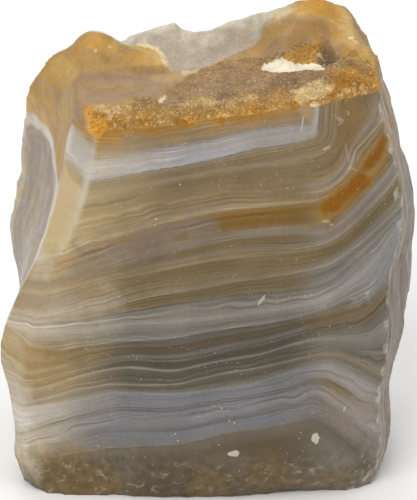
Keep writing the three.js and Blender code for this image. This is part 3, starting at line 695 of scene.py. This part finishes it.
# The stone's finish is broken chalcedony: layers of grey, brown and cream, a waxy and slightly
# see-through surface with white specks where blows have bruised it, and a sparkle of painted glints
# on the crust.
# Each list runs from the crust down: the layer's number, counted along the growth lines, and tone.
LEFT_STRATA = (
    (-7, "pale smoke"), (-4, "smoke"), (-2.4, "pale smoke"), (-1.2, "gold"), (-0.5, "dark honey"),
    (0, "ochre"), (0.3, "dark honey"), (0.7, "honey"), (1, "bone"), (1.3, "pearl"), (1.9, "pearl"),
    (2, "sand"), (2.15, "bone"), (2.5, "sand"), (2.7, "pale honey"), (3, "honey"), (3.5, "pale honey"),
    (4, "pale honey"), (4.5, "honey"), (5, "pale honey"), (5.5, "pale honey"), (5.8, "pale honey"),
    (5.95, "moss"), (6.05, "cream"), (6.2, "pale honey"), (6.5, "honey"), (6.8, "honey"), (7, "pale honey"),
    (7.2, "sand"), (7.6, "pale honey"), (8, "pale honey"), (8.5, "sand"), (9, "sand"), (9.5, "honey"),
    (10, "pale honey"), (10.5, "sand"), (11, "sand"), (11.3, "pale tea"), (12, "sand"), (12.6, "bone"),
    (13, "sand"), (13.15, "bone"), (13.6, "bone"), (14, "sand"), (14.3, "pearl"), (14.7, "bone"),
    (15, "bone"), (15.5, "sand"), (15.9, "pale honey"), (16, "dark honey"), (16.4, "honey"),
    (16.8, "dark honey"), (17, "pale honey"), (17.4, "dark honey"), (17.8, "sand"), (18, "pale honey"),
    (18.4, "dark honey"), (18.8, "sand"), (19, "bone"), (19.4, "honey"), (19.8, "sand"), (20, "bone"),
    (20.4, "sand"), (20.8, "pale honey"), (21, "pearl"), (21.5, "pearl"), (21.9, "bone"), (22, "sand"),
    (22.15, "bone"), (22.6, "bone"), (23, "honey"), (23.4, "sand"), (24, "dark honey"), (24.5, "tea"),
    (26, "dark tea"),
)
MIDDLE_STRATA = (
    (-7, "pale smoke"), (-4.4, "smoke"), (-2.8, "pale smoke"), (-1.6, "ash"), (-0.8, "honey"),
    (0, "pale tea"), (0.12, "tea"), (0.18, "sand"), (0.26, "tea"), (0.45, "tea"), (0.6, "pale tea"),
    (0.7, "tea"), (0.85, "mauve"), (1, "pale ash"), (1.12, "milk"), (1.3, "pale ash"), (1.5, "milk"),
    (1.93, "milk"), (2, "dark ash"), (2.3, "ash"), (2.6, "dark tea"), (2.8, "pale tea"), (3, "bark"),
    (3.3, "tea"), (3.5, "dark tea"), (3.8, "mauve"), (4, "pale tea"), (4.2, "dark tea"), (4.6, "pale olive"),
    (5, "tea"), (5.5, "pale olive"), (5.8, "pale tea"), (5.93, "honey"), (6, "pale honey"),
    (6.1, "pale tea"), (6.22, "ochre"), (6.6, "ochre"), (6.9, "dark tea"), (7, "tea"), (7.12, "ochre"),
    (7.6, "dark tea"), (7.9, "tea"), (8, "sand"), (8.15, "mauve"), (8.5, "ash"), (8.9, "mauve"),
    (9.1, "olive"), (9.6, "dark tea"), (10, "mauve"), (10.5, "pale olive"), (10.9, "pale tea"), (11, "sand"),
    (11.2, "olive"), (11.6, "olive"), (12, "dark tea"), (12.5, "pale olive"), (12.9, "mauve"), (13, "sand"),
    (13.12, "dark tea"), (13.5, "olive"), (13.85, "dark tea"), (14, "lead"), (14.1, "ash"), (14.4, "ash"),
    (14.7, "mauve"), (14.92, "pale ash"), (15, "lilac"), (15.12, "ash"), (15.5, "dark ash"), (15.8, "ash"),
    (15.95, "pale ash"), (16.02, "soot"), (16.3, "lead"), (16.5, "dark ash"), (16.7, "soot"), (17, "rust"),
    (17.3, "lead"), (17.6, "ash"), (17.85, "lead"), (18, "ash"), (18.2, "soot"), (18.8, "lead"),
    (18.94, "pale ash"), (19, "lilac"), (19.1, "dark ash"), (19.5, "lead"), (19.9, "dark ash"),
    (20, "lilac"), (20.12, "dark ash"), (20.5, "lead"), (20.85, "ash"), (21, "pale slate"), (21.15, "slate"),
    (21.6, "slate"), (21.92, "slate"), (22, "lead"), (22.05, "ash"), (22.11, "lead"), (22.2, "slate"),
    (22.5, "ash"), (22.8, "slate"), (23, "dark ash"), (23.1, "slate"), (23.6, "slate"), (23.95, "ash"),
    (24.1, "earth"), (24.6, "earth"), (26, "bark"),
)
RIGHT_STRATA = (
    (-7, "pale gold"), (-4, "gold"), (-2, "pale smoke"), (-0.8, "gold"), (-0.3, "dark honey"), (0, "ochre"),
    (0.3, "tea"), (0.7, "tea"), (1, "pale ash"), (1.5, "pearl"), (2, "pale tea"), (2.3, "dark tea"),
    (2.6, "sand"), (3, "dark tea"), (3.3, "sand"), (3.6, "dark tea"), (3.8, "pale tea"), (4, "sand"),
    (4.12, "dark tea"), (4.5, "tea"), (4.7, "pale tea"), (4.76, "lilac"), (4.86, "mauve"), (4.95, "sand"),
    (5, "bone"), (5.12, "sand"), (5.4, "pale tea"), (5.7, "dark tea"), (5.9, "pale tea"), (6, "pale tea"),
    (6.15, "tea"), (6.6, "tea"), (7.2, "pale tea"), (7.85, "tea"), (7.97, "dark honey"), (8.08, "ochre"),
    (8.4, "tea"), (8.8, "mauve"), (9, "lilac"), (9.3, "mauve"), (9.7, "mauve"), (10, "pale ash"),
    (10.3, "tea"), (10.8, "pale olive"), (11, "dark tea"), (11.5, "olive"), (12, "pale olive"),
    (12.4, "ash"), (12.8, "mauve"), (13, "pale ash"), (13.4, "dark ash"), (13.8, "ash"), (14, "dark ash"),
    (14.2, "ash"), (14.6, "ash"), (15, "pale ash"), (15.4, "ash"), (15.8, "ash"), (16, "lead"),
    (16.4, "dark tea"), (16.8, "olive"), (17, "bark"), (17.4, "pale olive"), (18, "rust"),
    (18.3, "dark ash"), (18.8, "ash"), (19, "lilac"), (19.3, "ash"), (19.7, "dark ash"), (20, "pale tea"),
    (20.3, "dark tea"), (20.7, "ash"), (21, "pale ash"), (21.4, "pale ash"), (21.8, "lilac"),
    (22, "dark tea"), (22.2, "tea"), (22.4, "lilac"), (22.8, "mauve"), (23.5, "mauve"), (24, "dark ash"),
    (26, "dark ash"),
)
# The tones that show through from deeper layers, at the left, in the middle and at the right.
HAZE = (
    (-5, "pale smoke", "pale smoke", "pale gold"), (-1.5, "smoke", "smoke", "gold"),
    (0, "dark honey", "pale tea", "tea"), (1.5, "bone", "lilac", "pale tea"),
    (2.3, "sand", "pale tea", "tea"), (4, "pale honey", "tea", "tea"), (6, "honey", "pale tea", "tea"),
    (6.6, "honey", "ochre", "tea"), (7.6, "honey", "ochre", "tea"), (8.1, "sand", "tea", "tea"),
    (9, "sand", "pale olive", "mauve"), (11.5, "honey", "pale olive", "olive"),
    (13.5, "sand", "dark tea", "ash"), (15, "bone", "ash", "pale ash"), (17, "honey", "soot", "dark tea"),
    (19, "honey", "soot", "dark ash"), (21, "bone", "dark ash", "ash"), (22.5, "bone", "slate", "mauve"),
    (24.2, "honey", "earth", "earth"), (26, "dark tea", "earth", "mauve"),
)

chalcedony = bpy.data.materials.new("broken_chalcedony")
chalcedony.use_nodes = True
tree = chalcedony.node_tree
shader = tree.nodes["Principled BSDF"]


def add(kind, inputs, **settings):
    """Adds a node with its settings, and gives back its outputs. Each input, in their order or by
    its name, gets a value, a tone or another node's output."""
    made = tree.nodes.new("ShaderNode" + kind)
    for name, setting in settings.items():
        setattr(made, name, setting)
    for at, given in inputs.items() if isinstance(inputs, dict) else enumerate(inputs):
        if isinstance(given, bpy.types.NodeSocket):
            tree.links.new(given, made.inputs[at])
        else:
            made.inputs[at].default_value = linear(TONES[given]) if isinstance(given, str) else given
    return made.outputs


EASED = {"interpolation_type": "SMOOTHSTEP"}  # a range that starts and ends softly
COLOURS = {"data_type": "RGBA"}  # a mix of colours: a share in 0, the two in 6 and 7, and out at 2

own_place = add("TexCoord", ())["Object"]
place_along = add("SeparateXYZ", (own_place,))
height = place_along["Z"]
kept = {name: add("Attribute", (), attribute_name=name)["Fac"] for name in kept_numbers}
layer = kept["growth"]


def noise_of(size, detail, stretch=(1, 1, 1)):
    """Noise of the stone's own place from 0 to 1, its lumps size millimetres across."""
    scaled = add("Mapping", {"Vector": own_place, "Scale": [1 / s for s in stretch]})[0]
    return add("TexNoise", {"Vector": scaled, "Scale": 1 / (size * MM), "Detail": detail})["Fac"]


def lumps(size, detail, low, high, stretch=(1, 1, 1), start=0.3, end=0.7):
    """A number that goes from low to high and back, in lumps size millimetres across."""
    return add("MapRange", (noise_of(size, detail, stretch), start, end, low, high), **EASED)[0]


def wandering(number, wander, reach):
    """A number that another one moves up and down, so far."""
    moved = add("Math", (wander, reach), operation="MULTIPLY")[0]
    return add("Math", (number, moved), operation="ADD")[0]


def near(number, line, edge, full):
    """1 where a number is near a line, from full inwards, and 0 from edge outwards."""
    away = add("Math", (number, line), operation="SUBTRACT")[0]
    away = add("Math", (away,), operation="ABSOLUTE")[0]
    return add("MapRange", (away, edge, full), **EASED)[0]


def laid(under, upper, *shares):
    """One colour laid over another, by the product of its shares."""
    share = shares[0]
    for further in shares[1:]:
        share = add("Math", (share, further), operation="MULTIPLY")[0]
    return add("Mix", {0: share, 6: under, 7: upper}, **COLOURS)[2]


def shaded(under, brightness):
    """A colour made brighter or darker."""
    grey = add("CombineColor", (brightness, brightness, brightness))[0]
    return add("Mix", {0: 1.0, 6: under, 7: grey}, blend_type="MULTIPLY", **COLOURS)[2]


def mottled(under, size, detail, low, high, stretch=(1, 1, 1)):
    """A colour made brighter and darker in lumps size millimetres across."""
    return shaded(under, lumps(size, detail, low, high, stretch))


def banded(under, across_bands, bands, detail, span, strength):
    """A colour made brighter and darker in bands, so many for each step of a number."""
    wave = add("TexNoise", {"W": across_bands, "Scale": bands, "Detail": detail}, noise_dimensions="1D")
    light = add("MapRange", (wave["Fac"], *span, -1, 1), **EASED)[0]
    light = add("Math", (light, strength), operation="MULTIPLY")[0]
    return shaded(under, add("Math", (light, 1), operation="ADD")[0])


RAMP_STOPS = 30  # a ramp holds 32 at most


def strata_colour(strata):
    """The colour of each layer, from ramps that follow each other down the growth."""
    colour = None
    for first in range(0, len(strata) - 1, RAMP_STOPS - 1):
        run = strata[first : first + RAMP_STOPS]
        top, bottom = run[0][0], run[-1][0]
        share = add("MapRange", (layer, top, bottom))[0]
        ramp = add("ValToRGB", (share,))[0]
        stops = ramp.node.color_ramp.elements
        while len(stops) < len(run):
            stops.new(0.5)
        for stop, (depth_here, tone) in zip(stops, run):
            stop.position = (depth_here - top) / (bottom - top)
            stop.color = linear(TONES[tone])
        if colour:
            past = add("Math", (layer, top), operation="GREATER_THAN")[0]
            ramp = laid(colour, ramp, past)
        colour = ramp
    return colour


# The layers go from honey at the left to grey in the middle and to iron at the right; the honey is
# partly painted glow where light comes through the thin corner. Each fades in and out as it runs.
HAZE_SHARES = (0.2, 0.62)
SIDE_WAVE = 6 * MM  # how far the sides wander
LEAN = 0.2  # the honey keeps nearer the left edge lower down
LEAN_FROM = 45 * MM
TO_LEFT = (-1 * MM, -15.5 * MM)  # where the left's tones start and have taken over
TO_RIGHT = (12.5 * MM, 19.5 * MM)
haze_share = lumps(6, 3, *HAZE_SHARES, stretch=(1.6, 1.6, 0.7))
wavy_x = wandering(place_along["X"], noise_of(7, 2), SIDE_WAVE)
lean = add("Math", (height, LEAN_FROM), operation="SUBTRACT")[0]
lean = add("Math", (lean, LEAN), operation="MULTIPLY")[0]
leaning_x = add("Math", (wavy_x, lean), operation="SUBTRACT")[0]
sides = []
for column, strata in enumerate((LEFT_STRATA, MIDDLE_STRATA, RIGHT_STRATA), 1):
    deeper = strata_colour([(stop[0], stop[column]) for stop in HAZE])
    sides.append(laid(strata_colour(strata), deeper, haze_share))
colour = laid(sides[1], sides[0], add("MapRange", (leaning_x, *TO_LEFT), **EASED)[0])
colour = laid(colour, sides[2], add("MapRange", (wavy_x, *TO_RIGHT), **EASED)[0])

cloud = lumps(1.5, 5, -1, 1)
slow_cloud = lumps(2.2, 1.5, -1, 1)
fine_wobble = lumps(0.5, 3, -0.1, 0.1)


def stain_and_light(under, kind, stains_and_light, limit, wobble, wander_share):
    """Lays each stain and painted light of a kind over a colour as far as the limit lets it. Soft edges
    wander more.
    """
    for number, (tone, strength, soft, _) in enumerate(stains_and_light):
        wander = wandering(wobble, slow_cloud, wander_share * soft)
        depth_here = add("Math", (kept[f"{kind}_stain_{number}"], wander), operation="ADD")[0]
        inside = add("MapRange", (depth_here, -soft, soft, 0, strength), **EASED)[0]
        under = laid(under, tone, inside, limit)
    return under


colour = stain_and_light(colour, "front", FRONT_STAINS_AND_GLOW, kept["front_face"], 0, 0.6)

# Fine lines within each layer, a tenth of a millimetre or two apart: how many to a layer, how
# strong, and how large the patches are in which they show.
FINE_LINES = ((5, 0.25, 5), (13, 0.17, 2.6))
LINE_WANDER = 0.18
line_place = add("Math", (layer, lumps(4, 1, 0, LINE_WANDER)), operation="ADD")[0]
in_layers = add("MapRange", (layer, LAST + 0.8, LAST), **EASED)[0]
for lines, strength, patch in FINE_LINES:
    here = lumps(patch, 2, 0, strength, stretch=(2, 2, 0.6), start=0.35, end=0.65)
    here = add("Math", (here, in_layers), operation="MULTIPLY")[0]
    colour = banded(colour, line_place, lines, 2, (0.25, 0.75), here)
# clouds in the layers, and the fine grain of a break
colour = mottled(colour, 5, 4, 0.93, 1.07)
colour = mottled(colour, 0.5, 4, 0.96, 1.04)

# the left flank: golden above, streaked along the stone, with a heart of grey quartz in a white wrap
STREAKS = (1, 1, 3)
QUARTZ = 0.9 * MM  # the heart's grains
WRAP = (-0.2, 1.3, 0.15)  # where the white wrap runs, and where it ends and is full, in millimetres
WRAP_WEAKENS = (9 * MM, 4 * MM)  # from the back to the front
left_colour = stain_and_light(colour, "left", LEFT_STAINS, 1, fine_wobble, 0.8)
left_colour = mottled(left_colour, 1.1, 5, 0.88, 1.12, STREAKS)
left_colour = mottled(left_colour, 3.4, 3, 0.92, 1.08)
in_heart = wandering(kept["in_heart"], slow_cloud, 0.25)
heart_colour = laid("heart", "pale heart", add("MapRange", (in_heart, 1, 9), **EASED)[0])
heart_colour = laid(heart_colour, "flank mauve", lumps(4, 3, 0, 0.5, start=0.45, end=0.65))
band_strength = add("MapRange", (in_heart, 7, 0.5, 0, 0.16), **EASED)[0]
heart_colour = banded(heart_colour, in_heart, 1.3, 3, (0.3, 0.7), band_strength)
quartz = add("TexVoronoi", {"Vector": own_place, "Scale": 1 / QUARTZ})["Color"]
quartz_tone = add("SeparateColor", (quartz,))[0]
heart_colour = shaded(heart_colour, add("MapRange", (quartz_tone, 0, 1, 0.95, 1.05), **EASED)[0])
heart_colour = mottled(heart_colour, 1.1, 5, 0.93, 1.07, STREAKS)
heart_share = add("MapRange", (in_heart, -0.1, 0.7, 0, 0.92), **EASED)[0]
left_colour = laid(left_colour, heart_colour, heart_share)
toward_front = add("MapRange", (place_along["Y"], *WRAP_WEAKENS, 0.3, 1), **EASED)[0]
left_colour = laid(left_colour, "heart edge", near(in_heart, *WRAP), lumps(4, 2, 0.7, 1), toward_front)
colour = laid(colour, left_colour, kept["left_flank"])
colour = stain_and_light(colour, "bevel", BEVEL_STAINS_AND_GLOW, kept["bevel"], 0, 0.35)

# the layers on end in the right flank, seen as the outlines of low steps
BARK_SHARE = 0.85
WARM_FROM = (34 * MM, 52 * MM)  # the height where the steps turn warmer
STEP_LIP = (0.94, 0.16, 0)  # where on a step its pale lip runs, and where it ends and is full
terrace = kept["terrace"]
bark = laid("bark grey", "warm bark", add("MapRange", (height, *WARM_FROM), **EASED)[0])
step_tone = add("TexNoise", {"W": terrace, "Scale": 0.9, "Detail": 4}, noise_dimensions="1D")["Fac"]
bark = shaded(bark, add("MapRange", (step_tone, 0.3, 0.7, 0.8, 1.16), **EASED)[0])
bark = mottled(bark, 0.7, 3, 0.9, 1.1, (1, 1, 7))
up_step = add("Math", (terrace,), operation="FRACT")[0]
bark = laid(bark, "edge", near(up_step, *STEP_LIP), lumps(1.6, 3, 0, 0.42, STREAKS, 0.45, 0.65))
colour = laid(colour, bark, kept["right_flank"], BARK_SHARE)
# a painted highlight along the edge between the front and the right flank, where light comes through the
# thin edge
EDGE_HIGHLIGHT = (0, 0.55, 0)  # where it runs, and where it ends and is full, in millimetres
EDGE_HIGHLIGHT_WANDER = 0.5
EDGE_HIGHLIGHT_FROM = (14 * MM, 18 * MM)
on_edge = near(wandering(kept["behind_right"], cloud, EDGE_HIGHLIGHT_WANDER), *EDGE_HIGHLIGHT)
at_right = add("MapRange", (place_along["X"], *EDGE_HIGHLIGHT_FROM), **EASED)[0]
colour = laid(colour, "edge", on_edge, lumps(1.6, 4, 0.1, 0.7, start=0.4, end=0.65), at_right)

# the crust: the druse's brown, the stains of the top with their painted shade and highlights,
# and a golden lip along the front
CRUST_FROM = (-0.3, 0.1)  # where it starts and where it is full, in millimetres above the rim
LIP_SHARE = 0.9
FRONT_STRIP = (-10.8 * MM, -12.2 * MM)  # where the front's stains of the rim start and are full
crust_share = add("Math", (kept["above_rim"], fine_wobble), operation="ADD")[0]
crust_share = add("MapRange", (crust_share, *CRUST_FROM), **EASED)[0]
crust_colour = laid("druse", "dark druse", lumps(4, 2, 0, 0.6, start=0.4, end=0.7))
crust_colour = stain_and_light(crust_colour, "top", TOP_STAINS_AND_LIGHT, 1, fine_wobble, 0.7)
crust_colour = mottled(crust_colour, 2.6, 4, 0.9, 1.1)
crust_colour = mottled(crust_colour, 0.4, 3, 0.92, 1.08)
lip_colour = laid("lip", "sugar", lumps(1.1, 3, 0, 1, start=0.4, end=0.62))
lip_colour = laid(lip_colour, "pale sugar", lumps(0.8, 3, 0, 0.8, start=0.52, end=0.64))
lip_colour = laid(lip_colour, "deep lip", lumps(1.8, 2, 0, 0.8, start=0.55, end=0.7))
crust_colour = laid(crust_colour, lip_colour, kept["lip"], LIP_SHARE)
front_strip = add("MapRange", (place_along["Y"], *FRONT_STRIP), **EASED)[0]
crust_colour = stain_and_light(crust_colour, "rim", RIM_STAINS, front_strip, fine_wobble, 0.6)
# its crystals: each facet painted lighter or darker as if lit in its own way, and a few painted as glints
# that catch the light
SUGAR = 0.17 * MM
FACET_LIGHT = (0.85, 1.18)
GLINTS = (0.955, 0.975, 0, 0.4)  # which few facets glint, and how strongly
sugar = add("TexVoronoi", {"Vector": own_place, "Scale": 1 / SUGAR})["Color"]
facet = add("SeparateColor", (sugar,))
facet_light = add("MapRange", (facet[0], 0, 1, *FACET_LIGHT), **EASED)[0]
facet_light = add("Mix", {0: kept["sugary"], 2: 1, 3: facet_light})[0]
crust_colour = shaded(crust_colour, facet_light)
glint = add("MapRange", (facet[2], *GLINTS), **EASED)[0]
crust_colour = laid(crust_colour, "sparkle", glint, kept["sugary"])
colour = laid(colour, crust_colour, crust_share)

# Bruises and chips that show white, spots of iron, and painted highlights on the tongue and the peak:
# the tone, how much it hides, the middle, the half length, depth and half width in millimetres, and how
# far the mark leans from level in degrees.
MARKS = (
    ("pearl", 0.9, (3.1, -17, 7.7), (0.72, 2, 0.5), 15),
    ("pearl", 0.9, (13.6, -16.1, 9.4), (0.5, 2, 0.75), 10),
    ("pearl", 0.6, (17.3, -15.2, 13.3), (0.16, 2, 0.42), -25),
    ("pearl", 0.6, (6.6, -16.7, 29.5), (0.85, 2, 0.2), 60),
    ("pearl", 0.7, (20, -13.2, 28.7), (0.3, 2, 0.16), 30),
    ("pearl", 0.25, (16.1, -13.6, 52.8), (0.5, 2, 0.22), -30),
    ("pearl", 0.22, (16.2, -13.6, 52.2), (0.3, 2, 0.14), 30),
    ("pearl", 0.35, (17.2, -13.6, 53.4), (0.14, 2, 0.3), 0),
    ("pearl", 0.4, (14.5, -14.4, 49.3), (0.5, 2, 0.18), 25),
    ("pearl", 0.45, (11.45, -14.4, 52.4), (0.12, 2, 0.9), -8),
    ("bone", 0.5, (17.5, -14.4, 46.2), (0.5, 2, 0.2), 40),
    ("honey", 0.7, (18, -14.4, 45.9), (0.9, 2, 0.12), -35),
    ("bone", 0.35, (17.1, -14.4, 48.2), (0.1, 2, 1.3), 10),
    ("bone", 0.5, (14.5, -15, 39.8), (0.5, 2, 0.2), 0),
    ("bone", 0.5, (15.3, -15, 39.2), (0.25, 2, 0.2), 0),
    ("deep lip", 0.7, (-3.3, -14, 52.4), (0.8, 3, 0.45), 0),
    ("deep lip", 0.7, (1.5, -14, 52.8), (0.4, 3, 0.45), 0),
    ("deep lip", 0.6, (6, -14, 54.1), (1.1, 3, 0.35), 8),
    ("deep lip", 0.6, (10.4, -14, 54.8), (0.7, 3, 0.4), 0),
    # the next three: painted glints on the golden tongue
    ("pale sugar", 0.45, (-14.5, 0.6, 57), (0.22, 0.5, 2), 0),
    ("pale sugar", 0.4, (-12.7, 1.8, 57), (0.22, 0.25, 2), 0),
    ("pale sugar", 0.4, (-12.3, -0.7, 57), (0.25, 0.12, 2), 0),
    ("shell", 0.7, (13.9, -2.7, 57), (0.38, 0.26, 2), 0),
    # the next three: painted highlights on the peak
    ("pale sugar", 0.8, (17.9, -0.4, 59), (0.45, 0.5, 2), 0),
    ("pale sugar", 0.7, (18.6, -1.1, 58), (0.3, 0.45, 2), 0),
    ("shell", 0.5, (17.7, -0.3, 59), (0.2, 0.25, 2), 0),
    ("pale sugar", 0.8, (13, -13.4, 54.9), (0.7, 2, 0.35), 12),
    ("shell", 0.6, (12.8, -13.4, 54.8), (0.35, 2, 0.2), 12),
)
MARK_EDGE = (0.45, 0.53)  # from the mark's rim, 0.5, outwards and inwards
mark_wobble = lumps(0.6, 2, -0.12, 0.12)
for tone, strength, middle, reach, lean in MARKS:
    in_mark = add("Mapping", {
        "Vector": own_place, "Location": [m * MM for m in middle],
        "Rotation": (0, -math.radians(lean), 0), "Scale": [2 * r * MM for r in reach],
    }, vector_type="TEXTURE")[0]
    inward = add("TexGradient", (in_mark,), gradient_type="SPHERICAL")["Fac"]
    inward = add("Math", (inward, mark_wobble), operation="ADD")[0]
    colour = laid(colour, tone, add("MapRange", (inward, *MARK_EDGE), **EASED)[0], strength)

# White specks where grains have burst out of the breaks: how far apart, how large, how strong, and
# how long and thin.
SPECKS = (
    (1.9, 0.08, 0.8, (1, 1, 1)), (0.9, 0.12, 0.6, (1, 1, 1)), (0.55, 0.19, 0.4, (1, 1, 1)),
    (1.6, 0.06, 0.6, (3, 3, 0.9)), (1.5, 0.06, 0.5, (0.9, 1, 3)),
)
SPECK_TURN = (0, 0.4, 0)
crowd = lumps(3, 3, 0.35, 1)
for apart, size, strength, stretch in SPECKS:
    turned = add("Mapping", {"Vector": own_place, "Rotation": SPECK_TURN, "Scale": [1 / s for s in stretch]})
    cells = add("TexVoronoi", {"Vector": turned[0], "Scale": 1 / (apart * MM)})
    pick = add("SeparateColor", (cells["Color"],))[1]
    reach = add("MapRange", (pick, 0.55, 1, 0, size), **EASED)[0]
    in_speck = add("Math", (reach, cells["Distance"]), operation="GREATER_THAN")[0]
    colour = laid(colour, "pearl", in_speck, crowd, strength)
# pale scars on the rough foot, and its patches of shade
SCAR = (0.5, 0.035, 0)  # where in the noise a scar runs, and where it ends and is full
SCARS_BELOW = (7.5 * MM, 5 * MM)
SCAR_STRENGTH = 0.45
FOOT_BELOW = (9 * MM, 5 * MM)
FOOT_SHADE = (0.83, 1.19)
scar = near(noise_of(2.2, 5, (1.5, 1, 1)), *SCAR)
low_down = add("MapRange", (height, *SCARS_BELOW, 0, SCAR_STRENGTH), **EASED)[0]
colour = laid(colour, "scar", scar, lumps(1.3, 4, 0, 1, start=0.5, end=0.62), low_down)
on_foot = add("MapRange", (height, *FOOT_BELOW), **EASED)[0]
colour = shaded(colour, add("Mix", {0: on_foot, 2: 1, 3: lumps(1.1, 5, *FOOT_SHADE)})[0])
tree.links.new(colour, shader.inputs["Base Color"])

# the waxy break and the duller, uneven crust
BREAK_ROUGHNESS = (0.36, 0.5)
CRUST_ROUGHNESS = 0.5
BUMP_DEPTH = 0.05 * MM
rough = add("Mix", {0: crust_share, 2: lumps(1.2, 3, *BREAK_ROUGHNESS), 3: CRUST_ROUGHNESS})[0]
tree.links.new(rough, shader.inputs["Roughness"])
uneven = add("Mix", {0: kept["sugary"], 2: noise_of(0.5, 3), 3: facet[1]})[0]
bump = add("Bump", {"Height": uneven, "Distance": BUMP_DEPTH, "Strength": 0.6})[0]
tree.links.new(bump, shader.inputs["Normal"])
for name, value in (
    ("IOR", 1.54),  # quartz
    ("Specular IOR Level", 0.12),
    ("Subsurface Weight", 0.25),
    ("Subsurface Radius", (1.0, 0.8, 0.55)),
    ("Subsurface Scale", 0.6 * MM),
):
    shader.inputs[name].default_value = value

stone.data.materials.clear()
stone.data.materials.append(chalcedony)
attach(stone, "root")
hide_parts("agate")


# --- The crust's crystals ---------------------------------------------------------------------------
# Quartz points about a fifth of a millimetre across, which grew out of the crust into the cavity.
# They are the same quartz as the stone, with the stone's own stains and painted light.
CRYSTALS = 20000
CRYSTAL_SIZES = (0.14, 0.26)  # across the foot, in millimetres
CRYSTAL_LENGTH = 0.7  # as a share of that
CRYSTAL_TILT = 0.32
CRYSTAL_SHIFT = 0.12  # how far each stands from its vertex, in millimetres
SUNK = 0.2  # how much of its length lies inside the crust
SEED = 7

bpy.ops.object.select_all(action="DESELECT")
bpy.ops.mesh.primitive_cone_add(
    vertices=5, radius1=0.5, radius2=0, depth=CRYSTAL_LENGTH, location=(0, 0, 0)
)
crystals = bpy.context.object
crystals.name = "crust_crystals"
point_mesh = crystals.data
corners = np.array([corner.co for corner in point_mesh.vertices])
corners[:, 2] += CRYSTAL_LENGTH / 2 - SUNK
cone_sides = [list(side.vertices) for side in point_mesh.polygons]

seeded = np.random.default_rng(SEED)
stone.data.vertices.foreach_get("normal", facing.ravel())
chance = np.maximum(sugary - 0.35, 0) * fade(facing[:, 2], -0.3, 0.2)
chosen = seeded.choice(count, CRYSTALS, p=chance / chance.sum())
axis = facing[chosen] + CRYSTAL_TILT * seeded.normal(size=(CRYSTALS, 3))
axis /= np.linalg.norm(axis, axis=1)[:, None]
sideways_axis = np.cross(axis, seeded.normal(size=(CRYSTALS, 3)))
sideways_axis /= np.linalg.norm(sideways_axis, axis=1)[:, None]
third_axis = np.cross(axis, sideways_axis)
size = seeded.uniform(*CRYSTAL_SIZES, CRYSTALS)[:, None, None]
shift = CRYSTAL_SHIFT * seeded.normal(size=(CRYSTALS, 3))
shift -= facing[chosen] * np.sum(shift * facing[chosen], axis=1)[:, None]
foot_place = (place[chosen] + shift)[:, None, :]
grown = foot_place + size * (
    corners[None, :, 0, None] * sideways_axis[:, None, :]
    + corners[None, :, 1, None] * third_axis[:, None, :]
    + corners[None, :, 2, None] * axis[:, None, :]
)
each = len(corners)
all_sides = [
    [corner + number * each for corner in side] for number in range(CRYSTALS) for side in cone_sides
]
crystal_mesh = bpy.data.meshes.new("crust_crystals")
crystal_mesh.from_pydata((grown * MM).reshape(-1, 3), [], all_sides)
crystals.data = crystal_mesh
bpy.ops.object.mode_set(mode="EDIT")
bpy.ops.mesh.select_all(action="SELECT")
bpy.ops.mesh.normals_make_consistent(inside=False)
bpy.ops.object.mode_set(mode="OBJECT")
for name, values in kept_numbers.items():
    stored = crystal_mesh.attributes.new(name, "FLOAT", "POINT")
    stored.data.foreach_set("value", np.repeat(values[chosen], each))
crystal_mesh.materials.append(chalcedony)
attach(crystals, "root")
